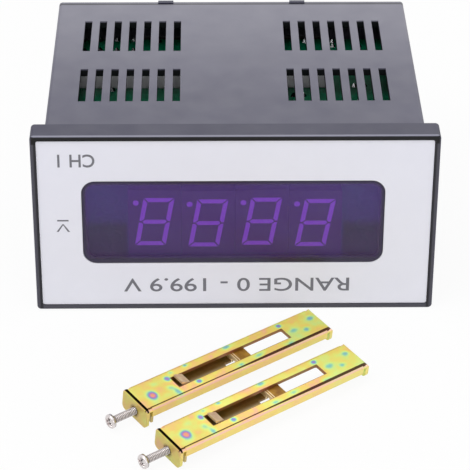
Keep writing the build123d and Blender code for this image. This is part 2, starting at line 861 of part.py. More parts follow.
def make_clamp_channel():
    """Pressed channel: web with a long window, low side flanges and a bent-down flange at each end."""
    outer = Pos(0, -clamp_side_height / 2) * Rectangle(clamp_width, clamp_side_height)
    outer = fillet(outer.vertices().group_by(Axis.Y)[-1], clamp_bend_radius)
    inner = Pos(0, -(clamp_side_height + clamp_sheet) / 2) * Rectangle(
        clamp_width - 2 * clamp_sheet, clamp_side_height - clamp_sheet)
    inner = fillet(inner.vertices().group_by(Axis.Y)[-1], clamp_bend_radius - clamp_sheet)
    body = side_slab(outer - inner, clamp_relief, clamp_length - clamp_relief)
    body += clamp_end(clamp_near_height)
    body += Pos(clamp_length, 0, 0) * Rot(0, 0, 180) * clamp_end(clamp_far_height)
    window_length = clamp_window_end - clamp_window_start
    window = Pos((clamp_window_start + clamp_window_end) / 2, 0) * RectangleRounded(
        window_length, clamp_window_width, clamp_window_corner)
    body -= extrude(Pos(0, 0, -clamp_sheet - overrun) * window, amount=clamp_sheet + 2 * overrun)
    hole = clamp_screw_radius + clamp_hole_gap
    return body - rod_x(0, -clamp_screw_drop, hole, -overrun, clamp_sheet + overrun)


def make_hook_slider():
    """Folded strip inside the channel: a threaded ear, a low tray, and a hook up through the window."""
    half = clamp_width / 2 - clamp_sheet - slider_side_gap
    high = -clamp_sheet - slider_gap
    under = high - slider_sheet
    low = -slider_low_drop - slider_sheet
    sheet = slider_sheet
    ear = block(slider_ear_x, slider_ear_x + sheet, -half, half, -slider_ear_drop, high)
    body = ear - rod_x(0, -clamp_screw_drop, clamp_screw_radius + running_gap, slider_ear_x - overrun,
                       slider_ear_x + sheet + overrun)
    body += block(slider_ear_x, slider_step_x, -half, half, under, high)
    body += block(slider_step_x - sheet, slider_step_x, -half, half, low, high)
    body += block(slider_step_x - sheet, slider_riser_x + sheet, -half, half, low, low + sheet)
    body += block(slider_riser_x, slider_riser_x + sheet, -half, half, low, high)
    body += block(slider_riser_x, slider_end_x, -half, half, under, high)
    hook = [(hook_root_x, low), (hook_root_x + sheet, low), (hook_root_x + sheet, hook_root_rise),
            (hook_tip_x, hook_tip_rise), (hook_tip_x, hook_tip_rise - sheet),
            (hook_root_x, hook_root_rise - sheet)]
    body += front_slab(make_face(Polyline(*hook, close=True)), -hook_width / 2, hook_width / 2)
    notch = block(slider_riser_x - slider_notch_length, slider_riser_x + sheet + overrun, -half - overrun,
                  -half + slider_notch_width, low - overrun, low + sheet + overrun / 2)
    return body - notch


def make_clamp_screw():
    """Pan-head screw through the near flange and the slider's ear, with a cross recess."""
    axis = -clamp_screw_drop
    head_inner = -clamp_screw_stand
    head_outer = head_inner - clamp_head_height
    head = rod_x(0, axis, clamp_head_radius, head_outer, head_inner)
    head = chamfer(head.edges().filter_by(GeomType.CIRCLE).sort_by(Axis.X)[0], clamp_head_edge)
    body = head + rod_x(0, axis, clamp_screw_radius, head_inner, clamp_screw_reach)
    for long_side, short_side in ((cross_length, cross_width), (cross_width, cross_length)):
        body -= block(head_outer - overrun, head_outer + cross_depth, -long_side / 2, long_side / 2,
                      axis - short_side / 2, axis + short_side / 2)
    return body


def main():
    """Build every node and write its file."""
    os.makedirs("parts", exist_ok=True)
    save("front_bezel", make_bezel())
    save("face_plate", make_face_plate())
    save("display_window", make_window())
    save("case", make_case())
    save("rear_cover", make_rear_cover())
    for index in range(digit_count):
        save(f"led_digit_{index + 1}", make_digit(index))
        save(f"digit_segments_{index + 1}", make_segments(index))
    save("display_board", make_display_board())
    save("header_pins", make_header_pins())
    save("board_header", make_header_body())
    save("main_board", make_main_board())
    save("solder_joints", make_solder_joints())
    save("insulating_sheet", make_sheet())
    save("chip_socket", make_socket())
    save("converter_chip", make_chip())
    save("transformer_core", make_transformer_core())
    save("transformer_coil", make_transformer_coil())
    save("electrolytic_capacitors", make_electrolytics())
    save("film_capacitors", make_film_capacitors())
    save("disc_capacitors", make_disc_capacitors())
    save("voltage_regulator", make_regulator())
    resistors = [axial_part(resistor_x, y, resistor_radius, resistor_length, False) for y in resistor_y]
    save("resistors", resistors)
    save("rectifier_diodes", [axial_part(x, diode_y, diode_radius, diode_length, True) for x in diode_x])
    save("trimmer_body", make_trimmer())
    save("trimmer_screw", make_trimmer_screw())
    save("terminal_block", make_terminal_block())
    save("terminal_clamp_boxes", [make_clamp_box(x) for x in terminal_places()])
    for index, x in enumerate(terminal_places()):
        save(f"terminal_screw_{index + 1}", make_terminal_screw(x))
    for index in range(len(clamp_places)):
        place = clamp_placement(index)
        save(f"clamp_channel_{index + 1}", place * make_clamp_channel())
        save(f"hook_slider_{index + 1}", place * make_hook_slider())
        save(f"clamp_screw_{index + 1}", place * make_clamp_screw())


main()
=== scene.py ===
import logging
import math
from dataclasses import dataclass, field
from enum import Enum
from typing import Any, Dict, List, Optional, Sequence, Tuple, Union

import bmesh
import bpy
import numpy as np
from mathutils import Matrix, Vector


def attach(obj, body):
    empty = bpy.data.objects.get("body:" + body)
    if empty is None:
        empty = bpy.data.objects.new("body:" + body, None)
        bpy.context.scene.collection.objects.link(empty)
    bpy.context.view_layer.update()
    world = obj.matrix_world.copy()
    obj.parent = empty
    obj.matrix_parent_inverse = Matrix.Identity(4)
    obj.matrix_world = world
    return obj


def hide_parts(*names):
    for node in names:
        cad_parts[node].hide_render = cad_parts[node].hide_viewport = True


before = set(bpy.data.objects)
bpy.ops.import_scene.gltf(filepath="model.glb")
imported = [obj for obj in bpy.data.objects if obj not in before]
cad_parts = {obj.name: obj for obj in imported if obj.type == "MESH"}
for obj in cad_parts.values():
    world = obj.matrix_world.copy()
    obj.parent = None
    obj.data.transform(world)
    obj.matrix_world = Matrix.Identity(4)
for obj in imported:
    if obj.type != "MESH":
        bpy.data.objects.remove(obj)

Colour = Tuple[float, float, float]
Point = Tuple[float, float, float]
Step = Tuple[float, float]  # where a smooth step starts and where it ends

MM = 0.001
METER = "meter"
NOISE: Step = (0.3, 0.7)  # the range that most of a Noise node's output lies in
JOIN = 0.001 * MM  # corners of loose triangles that are nearer than this are one point
log = logging.getLogger("panel_meter")


def shade(red: float, green: float, blue: float) -> Colour:
    """Turn a colour written on the screen's 0 to 255 scale into linear light.

    Args:
        red: Red on the screen's scale.
        green: Green on the screen's scale.
        blue: Blue on the screen's scale.

    Returns:
        The linear colour: the low end is a straight line and the rest a power of 2.4.
    """
    level = np.array([red, green, blue]) / 255.0
    linear = np.where(level <= 0.04045, level / 12.92, ((level + 0.055) / 1.055) ** 2.4)
    return float(linear[0]), float(linear[1]), float(linear[2])


class Wire:
    """A shader socket. Each arithmetic sign used on it adds one Math node."""

    def __init__(self, graph: "Graph", socket: bpy.types.NodeSocket) -> None:
        """Keep the socket and the graph it belongs to.

        Args:
            graph: The graph that new nodes are added to.
            socket: The output socket that this wire starts from.
        """
        self.graph = graph
        self.socket = socket

    def _math(self, operation: str, first: "Number", second: "Number" = 0.0) -> "Wire":
        """Add a Math node.

        Args:
            operation: The Math node's operation.
            first: First operand.
            second: Second operand, where the operation has one.

        Returns:
            The result.
        """
        made = self.graph.node("ShaderNodeMath", {"operation": operation}, {0: first, 1: second})
        return Wire(self.graph, made.outputs[0])

    def __add__(self, other: "Number") -> "Wire":
        """Sum."""
        return self._math("ADD", self, other)

    def __radd__(self, other: "Number") -> "Wire":
        """Sum with a number on the left."""
        return self._math("ADD", other, self)

    def __sub__(self, other: "Number") -> "Wire":
        """Difference."""
        return self._math("SUBTRACT", self, other)

    def __rsub__(self, other: "Number") -> "Wire":
        """Difference from a number on the left."""
        return self._math("SUBTRACT", other, self)

    def __mul__(self, other: "Number") -> "Wire":
        """Product."""
        return self._math("MULTIPLY", self, other)

    def __rmul__(self, other: "Number") -> "Wire":
        """Product with a number on the left."""
        return self._math("MULTIPLY", other, self)

    def __truediv__(self, other: "Number") -> "Wire":
        """Quotient."""
        return self._math("DIVIDE", self, other)

    def __abs__(self) -> "Wire":
        """Size without its sign."""
        return self._math("ABSOLUTE", self)

    def __lt__(self, other: "Number") -> "Wire":
        """One where this wire is the smaller, else nought."""
        return self._math("LESS_THAN", self, other)

    def __gt__(self, other: "Number") -> "Wire":
        """One where this wire is the larger, else nought."""
        return self._math("GREATER_THAN", self, other)

    def exp(self) -> "Wire":
        """The number e raised to this wire."""
        return self._math("EXPONENT", self)

    def largest(self, other: "Number") -> "Wire":
        """The larger of the two."""
        return self._math("MAXIMUM", self, other)

    def smallest(self, other: "Number") -> "Wire":
        """The smaller of the two."""
        return self._math("MINIMUM", self, other)

    def root(self) -> "Wire":
        """Square root."""
        return self._math("SQRT", self)


Number = Union[float, Wire]


class Graph:
    """The node tree of one material."""

    def __init__(self, name: str) -> None:
        """Start a material with nothing but its output.

        Args:
            name: The material's name.
        """
        self.material = bpy.data.materials.new(name)
        self.material.use_nodes = True
        self.tree = self.material.node_tree
        self.tree.nodes.clear()
        self._place: Optional[Wire] = None

    def node(self, kind: str, settings: Optional[Dict[str, Any]] = None,
             inputs: Optional[Dict[Union[int, str], Any]] = None) -> bpy.types.Node:
        """Add any node.

        Args:
            kind: The node's type.
            settings: Its settings, set first. A ramp's stops come under "ramp".
            inputs: What goes into its sockets, by name or number: a value or a wire.

        Returns:
            The node.
        """
        made = self.tree.nodes.new(kind)
        for key, value in (settings or {}).items():
            if key == "ramp":
                stops = made.color_ramp.elements
                while len(stops) < len(value):
                    stops.new(1.0)
                for stop, (where, colour) in zip(stops, value):
                    stop.position = where
                    stop.color = (*colour, 1.0)
            else:
                setattr(made, key, value)
        for key, value in (inputs or {}).items():
            if isinstance(value, Wire):
                self.tree.links.new(value.socket, made.inputs[key])
            elif hasattr(value, "__len__") and made.inputs[key].type == "RGBA":
                made.inputs[key].default_value = (*value[:3], 1.0)
            else:
                made.inputs[key].default_value = value
        return made

    def place(self) -> Wire:
        """Where a point of the surface is, in the object's own metres."""
        if self._place is None:
            self._place = Wire(self, self.node("ShaderNodeTexCoord").outputs["Object"])
        return self._place

    def turned(self, origin: Point, turn: Point) -> Wire:
        """Where a point is, seen from a piece's own turned origin.

        Args:
            origin: The piece's origin.
            turn: The piece's turn about X, Y and Z, in radians.

        Returns:
            The point in the piece's own axes.
        """
        made = self.node("ShaderNodeMapping", {"vector_type": "TEXTURE"},
                         {"Vector": self.place(), "Location": origin, "Rotation": turn})
        return Wire(self, made.outputs[0])

    def split(self, vector: Wire) -> Tuple[Wire, Wire, Wire]:
        """The three parts of a vector."""
        made = self.node("ShaderNodeSeparateXYZ", None, {0: vector})
        return Wire(self, made.outputs[0]), Wire(self, made.outputs[1]), Wire(self, made.outputs[2])

    def noise(self, size: float, detail: float = 3.0) -> Wire:
        """Cloudy noise round one half.

        Args:
            size: Size of a cloud, in metres.
            detail: How many finer layers it has.

        Returns:
            The noise.
        """
        made = self.node("ShaderNodeTexNoise", None,
                         {"Vector": self.place(), "Scale": 1.0 / size, "Detail": detail})
        return Wire(self, made.outputs[0])

    def cells(self, size: float) -> Tuple[Wire, Wire]:
        """Scattered cells.

        Args:
            size: Distance between cells, in metres.

        Returns:
            The distance from the nearest cell's centre, in cells, and a random colour of that cell.
        """
        made = self.node("ShaderNodeTexVoronoi", None, {"Vector": self.place(), "Scale": 1.0 / size})
        return Wire(self, made.outputs["Distance"]), Wire(self, made.outputs["Color"])

    def rise(self, value: Wire, low: float, high: float) -> Wire:
        """A smooth step from nought at low to one at high.

        Args:
            value: What is measured.
            low: Where the step starts.
            high: Where it ends, which may be below low.

        Returns:
            The step.
        """
        made = self.node("ShaderNodeMapRange", {"interpolation_type": "SMOOTHSTEP"},
                         {0: value, 1: low, 2: high, 3: 0.0, 4: 1.0})
        return Wire(self, made.outputs[0])

    def line(self, off: Wire, inner: float, outer: float) -> Wire:
        """One where something is less than inner away from a line, fading to nought at outer."""
        return 1 - self.rise(abs(off), inner, outer)

    def clouds(self, size: float, low: float = 0.0, high: float = 1.0, detail: float = 3.0) -> Wire:
        """Noise stretched so that it runs from low to high.

        Args:
            size: Size of a cloud, in metres.
            low: Where the noise is lowest.
            high: Where it is highest.
            detail: How many finer layers it has.

        Returns:
            The clouds.
        """
        made = self.node("ShaderNodeMapRange", None,
                         {0: self.noise(size, detail), 1: NOISE[0], 2: NOISE[1], 3: low, 4: high})
        return Wire(self, made.outputs[0])

    def mix(self, share: Number, first: Union[Colour, Wire], second: Union[Colour, Wire]) -> Wire:
        """Blend two colours.

        Args:
            share: How much of the second shows.
            first: First colour.
            second: Second colour.

        Returns:
            The blend.
        """
        made = self.node("ShaderNodeMix", {"data_type": "RGBA"}, {0: share, 6: first, 7: second})
        return Wire(self, made.outputs[2])

    def ramp(self, value: Wire, stops: Sequence[Tuple[float, Colour]]) -> Wire:
        """A colour read from a row of stops."""
        return Wire(self, self.node("ShaderNodeValToRGB", {"ramp": stops}, {0: value}).outputs[0])

    def bump(self, height: Wire, depth: float, strength: float = 1.0) -> Wire:
        """A bumpy normal.

        Args:
            height: Height from nought to one.
            depth: What a height of one stands for, in metres.
            strength: Share of the bump that is used.

        Returns:
            The normal.
        """
        made = self.node("ShaderNodeBump", None, {"Strength": strength, "Distance": depth, "Height": height})
        return Wire(self, made.outputs[0])

    def close(self, shader: bpy.types.Node, output: str = "ShaderNodeOutputMaterial") -> None:
        """Lead a shader to the tree's output."""
        self.tree.links.new(shader.outputs[0], self.node(output).inputs["Surface"])

    def finish(self, sockets: Dict[str, Any]) -> bpy.types.Material:
        """Close the tree with one Principled shader.

        Args:
            sockets: What goes into the shader, by name: values or wires.

        Returns:
            The material.
        """
        self.close(self.node("ShaderNodeBsdfPrincipled", None, sockets))
        return self.material


class WorldGraph(Graph):
    """The node tree of the world."""

    def __init__(self, world: bpy.types.World) -> None:
        """Start from an empty tree.

        Args:
            world: The world whose tree it is.
        """
        self.tree = world.node_tree
        self.tree.nodes.clear()


@dataclass(frozen=True)
class Finish:
    """A finish by name. Each kind says what goes into its shader."""

    name: str

    def sockets(self, graph: Graph) -> Dict[str, Any]:
        """What goes into the shader's sockets."""
        raise NotImplementedError

    def material(self) -> bpy.types.Material:
        """The finish as a material, made once."""
        kept = bpy.data.materials.get(self.name)
        if kept is not None:
            return kept
        graph = Graph(self.name)
        return graph.finish(self.sockets(graph))


@dataclass(frozen=True)
class GrainedPlastic(Finish):
    """Moulded plastic with a fine grain, cloudy gloss and a few specks of dust."""

    colour: Colour
    roughness: float = 0.5
    clouds: float = 0.05
    dust: float = 0.0
    gloss: float = 0.5
    grain: float = 0.35 * MM
    depth: float = 0.02 * MM
    cloud_size: float = 20 * MM
    gloss_size: float = 6 * MM
    gloss_change: float = 0.05
    dust_colour: Colour = shade(205, 205, 210)
    dust_share: float = 0.7
    dust_apart: float = 2.2 * MM
    speck: Step = (0.03, 0.06)

    def tint(self, graph: Graph) -> Wire:
        """The plastic's colour, lighter and darker by its clouds."""
        low = tuple(part * (1 - self.clouds) for part in self.colour)
        high = tuple(part * (1 + self.clouds) for part in self.colour)
        return graph.mix(graph.clouds(self.cloud_size), low, high)

    def sockets(self, graph: Graph) -> Dict[str, Any]:
        """Clouded colour, cloudy roughness, and a bump of fine grain."""
        colour = self.tint(graph)
        if self.dust > 0:
            distance, random = graph.cells(self.dust_apart)
            chosen = graph.split(random)[0] < self.dust
            speck = (1 - graph.rise(distance, *self.speck)) * chosen
            colour = graph.mix(speck * self.dust_share, colour, self.dust_colour)
        change = self.gloss_change
        rough = graph.clouds(self.gloss_size, self.roughness - change, self.roughness + change)
        return {"Base Color": colour, "Roughness": rough, "Specular IOR Level": self.gloss,
                "Normal": graph.bump(graph.noise(self.grain, 2.0), self.depth, 0.6)}


@dataclass(frozen=True)
class ShellPlastic(GrainedPlastic):
    """Grained plastic of a hollow case, with a painted sheen that makes it paler to the back. Its inner faces get
    painted shade, and a dark seam runs along its back edge.
    """

    # painted shade on the inner faces; the same colour darkens the seam with the rear cover
    shade_and_seam_colour: Colour = shade(20, 20, 24)
    # painted sheen: the colour the case grows to at the back
    painted_sheen_colour: Colour = shade(121, 120, 134)
    # painted sheen: the depths over which the case grows paler
    pale: Step = (10.0 * MM, 75.0 * MM)
    half_width: float = 45.0 * MM
    half_height: float = 22.0 * MM
    skin: float = 0.35 * MM
    seam: Step = (68.7 * MM, 69.0 * MM)
    seam_share: float = 0.85

    def tint(self, graph: Graph) -> Wire:
        """Plastic's colour on the skin only, paler by depth as a painted sheen, and darker along the seam with the
        rear cover; the inner faces get painted shade.
        """
        x, y, z = graph.split(graph.place())
        # the inner faces, which get painted shade
        inside = (abs(x) < self.half_width - self.skin) * (abs(z) < self.half_height - self.skin)
        # painted sheen: paler towards the back
        sheened = graph.mix(graph.rise(y, *self.pale), super().tint(graph), self.painted_sheen_colour)
        colour = graph.mix(graph.rise(y, *self.seam) * self.seam_share, sheened, self.shade_and_seam_colour)
        return graph.mix(inside, colour, self.shade_and_seam_colour)


@dataclass(frozen=True)
class RimPlastic(GrainedPlastic):
    """Grained plastic of the bezel. Its front face has its front colour inside a thin edge, darkened by painted
    shade along the top and beside the plate, and the upper edge carries a painted highlight.

    The step `front` is a depth along Y, `beside_plate` a distance in from the left or right side, `top` (painted
    shade) and
    `edge_highlight` (painted highlight) distances down from the upper side, and `edge` a distance in from the
    nearest side.
    """

    front_colour: Colour = shade(70, 69, 78)
    # painted shade along the top of the front face and beside the plate
    painted_shade_colour: Colour = shade(8, 8, 13)
    # painted highlight along the upper front edge
    edge_highlight_colour: Colour = shade(150, 150, 166)
    half_width: float = 48.0 * MM
    half_height: float = 24.0 * MM
    front: Step = (-5.3 * MM, -5.7 * MM)
    beside_plate: Step = (0.75 * MM, 0.9 * MM)
    past_plate: float = 1.5 * MM
    # painted shade: how far down from the upper side the front face darkens
    top: Step = (2.4 * MM, 2.0 * MM)
    # painted highlight: how far down from the upper side the edge is lit
    edge_highlight: Step = (0.3 * MM, 0.2 * MM)
    edge: Step = (0.2 * MM, 0.4 * MM)
    plate_shadow_share: float = 0.75
    edge_highlight_share: float = 0.85

    def tint(self, graph: Graph) -> Wire:
        """Plastic's colour with a painted highlight along the upper edge; on the front face, inside its edges, the
        front colour darkened by painted shade at the top and beside the plate.
        """
        x, y, z = graph.split(graph.place())
        beside = self.half_width - abs(x)
        below = self.half_height - z
        inside = beside.smallest(self.half_height - abs(z))
        on_front = graph.rise(y, *self.front)
        # painted shadow line on the rim beside the plate
        plate_shadow = graph.rise(beside, *self.beside_plate) * (beside < self.past_plate)
        # painted shade along the top of the front face
        front_colour = graph.mix(graph.rise(below, *self.top), self.front_colour, self.painted_shade_colour)
        front_colour = graph.mix(plate_shadow * self.plate_shadow_share, front_colour, self.painted_shade_colour)
        # painted highlight along the upper front edge
        edge_highlight = graph.rise(below, *self.edge_highlight) * on_front
        colour = graph.mix(edge_highlight * self.edge_highlight_share, super().tint(graph), self.edge_highlight_colour)
        return graph.mix(graph.rise(inside, *self.edge) * on_front, colour, front_colour)


@dataclass(frozen=True)
class TabbedPlastic(GrainedPlastic):
    """Grained plastic whose finger tabs are of another colour."""

    tab_colour: Colour = shade(20, 20, 52)
    tab_x: float = 17.15 * MM
    tab_half: float = 2.0 * MM
    tab_from: float = 21.2 * MM

    def tint(self, graph: Graph) -> Wire:
        """Plastic with the tabs' colour near the two edges, on the tabs' widths only."""
        x, _, z = graph.split(graph.place())
        on_tab = (abs(abs(x) - self.tab_x) < self.tab_half) * (abs(z) > self.tab_from)
        return graph.mix(on_tab, super().tint(graph), self.tab_colour)


@dataclass(frozen=True)
class PrintedPlate(Finish):
    """Smooth pale plate, a little bluer towards its upper edge, with faint mottling."""

    upper: Colour = shade(229, 229, 240)
    lower: Colour = shade(229, 229, 238)
    mottle_colour: Colour = shade(200, 202, 212)
    mottle_share: float = 0.05
    height: Step = (-22 * MM, 22 * MM)

    def sockets(self, graph: Graph) -> Dict[str, Any]:
        """Colour by height, with a faint orange-peel bump."""
        height = graph.rise(graph.split(graph.place())[2], *self.height)
        colour = graph.mix(height, self.lower, self.upper)
        colour = graph.mix(graph.clouds(4 * MM) * self.mottle_share, colour, self.mottle_colour)
        return {"Base Color": colour, "Roughness": graph.clouds(8 * MM, 0.42, 0.55),
                "Normal": graph.bump(graph.noise(1.2 * MM), 0.01 * MM, 0.4)}


@dataclass(frozen=True)
class TintedFilter(Finish):
    """Tinted sheet, clearer in the middle, nearly black along its edge, and greyer low beside the figures."""

    lower: Colour = shade(92, 67, 131)
    upper: Colour = shade(98, 70, 152)
    grey: Colour = shade(88, 67, 114)
    edge: Colour = shade(35, 26, 56)
    half_width: float = 35.85 * MM
    half_height: float = 11.25 * MM
    centre: Tuple[float, float] = (-0.45 * MM, 0.4 * MM)
    corner: float = 3.2 * MM
    border: Step = (0.3 * MM, 1.6 * MM)
    lower_border: float = 0.5 * MM
    past_figures: Step = (25.6 * MM, 26.1 * MM)
    greyer: Step = (1.4 * MM, -1.2 * MM)
    clearness: float = 0.62

    def sockets(self, graph: Graph) -> Dict[str, Any]:
        """Colour and alpha by the distance inside a rounded rectangle: length of what passes its inner box."""
        x, _, z = graph.split(graph.place())
        across = (abs(x - self.centre[0]) - (self.half_width - self.corner)).largest(0.0)
        up = (abs(z - self.centre[1]) - (self.half_height - self.corner)).largest(0.0)
        inside = self.corner - (across * across + up * up).root()
        low = (z + self.half_height - self.centre[1]) - self.lower_border
        clear = graph.rise(inside.smallest(low), *self.border)
        depth = graph.rise(z, -self.half_height, self.half_height)
        greyed = graph.rise(abs(x), *self.past_figures) * graph.rise(z, *self.greyer)
        tint = graph.mix(greyed, graph.mix(depth, self.lower, self.upper), self.grey)
        return {"Base Color": graph.mix(clear, self.edge, tint), "Roughness": graph.clouds(10 * MM, 0.16, 0.22),
                "Alpha": 1 - clear * self.clearness, "IOR": 1.49}


@dataclass(frozen=True)
class SegmentResin(Finish):
    """Diffusing resin of the light bars: a little paler in the middle of its clouds."""

    colour: Colour = shade(168, 74, 255)
    pale: Colour = shade(178, 100, 255)
    pale_share: float = 0.35
    glow: float = 0.34

    def sockets(self, graph: Graph) -> Dict[str, Any]:
        """Colour with slight clouds and a faint glow, which stands for the light that the resin scatters."""
        colour = graph.mix(graph.clouds(1.5 * MM, 0.0, self.pale_share), self.colour, self.pale)
        return {"Base Color": colour, "Roughness": graph.clouds(3 * MM, 0.4, 0.55),
                "Emission Color": colour, "Emission Strength": self.glow}


@dataclass(frozen=True)
class BoardLacquer(Finish):
    """Green lacquered board: tracks show as paler stripes under the lacquer."""

    colour: Colour = shade(0, 128, 90)
    track: Colour = shade(0, 146, 104)
    apart: float = 3.5 * MM
    ring: float = 0.45
    width: Step = (0.06, 0.1)

    def sockets(self, graph: Graph) -> Dict[str, Any]:
        """Tracks in rings round the middles of scattered cells, raised a little under the lacquer."""
        distance, _ = graph.cells(self.apart)
        track = graph.line(distance - self.ring, *self.width)
        return {"Base Color": graph.mix(track * 0.6, self.colour, self.track),
                "Roughness": graph.clouds(4 * MM, 0.5, 0.62), "Specular IOR Level": 0.2,
                "Normal": graph.bump(track, 0.04 * MM, 0.6)}


@dataclass(frozen=True)
class BareMetal(Finish):
    """Plated or bare metal, with cloudy gloss and fine wear."""

    colour: Colour
    roughness: float = 0.28
    wear: float = 0.8 * MM
    depth: float = 0.01 * MM
    dullest: float = 0.78

    def sockets(self, graph: Graph) -> Dict[str, Any]:
        """Metal whose colour and bump follow the same noise."""
        cloud = graph.clouds(self.wear, detail=4.0)
        dull = tuple(part * self.dullest for part in self.colour)
        rough = graph.clouds(2 * MM, self.roughness - 0.07, self.roughness + 0.08)
        return {"Base Color": graph.mix(cloud, dull, self.colour), "Roughness": rough, "Metallic": 1.0,
                "Normal": graph.bump(cloud, self.depth, 0.5)}


@dataclass(frozen=True)
class StackedSheets(BareMetal):
    """Thin iron sheets side by side along Y."""

    sheet: float = 0.5 * MM
    groove: Step = (0.42, 0.5)
    groove_depth: float = 0.12 * MM

    def sockets(self, graph: Graph) -> Dict[str, Any]:
        """Plain metal with a groove wherever the depth passes a whole number of sheets."""
        made = super().sockets(graph)
        phase = graph.split(graph.place())[1] / self.sheet
        part = Wire(graph, graph.node("ShaderNodeMath", {"operation": "FRACT"}, {0: phase}).outputs[0])
        made["Normal"] = graph.bump(graph.rise(abs(part - 0.5), *self.groove), self.groove_depth)
        return made


@dataclass(frozen=True)
class BandedBody(GrainedPlastic):
    """Small lacquered body with coloured rings along X or Y."""

    axis: int = 0
    centre: float = 0.0
    bands: Tuple[Tuple[float, Colour], ...] = ()
    half_band: float = 0.35 * MM

    def tint(self, graph: Graph) -> Wire:
        """Lacquer with one ring for each band, by the distance along the body."""
        along = graph.split(graph.place())[self.axis] - self.centre
        colour = super().tint(graph)
        for where, ring in self.bands:
            colour = graph.mix(abs(along - where) < self.half_band, colour, ring)
        return colour


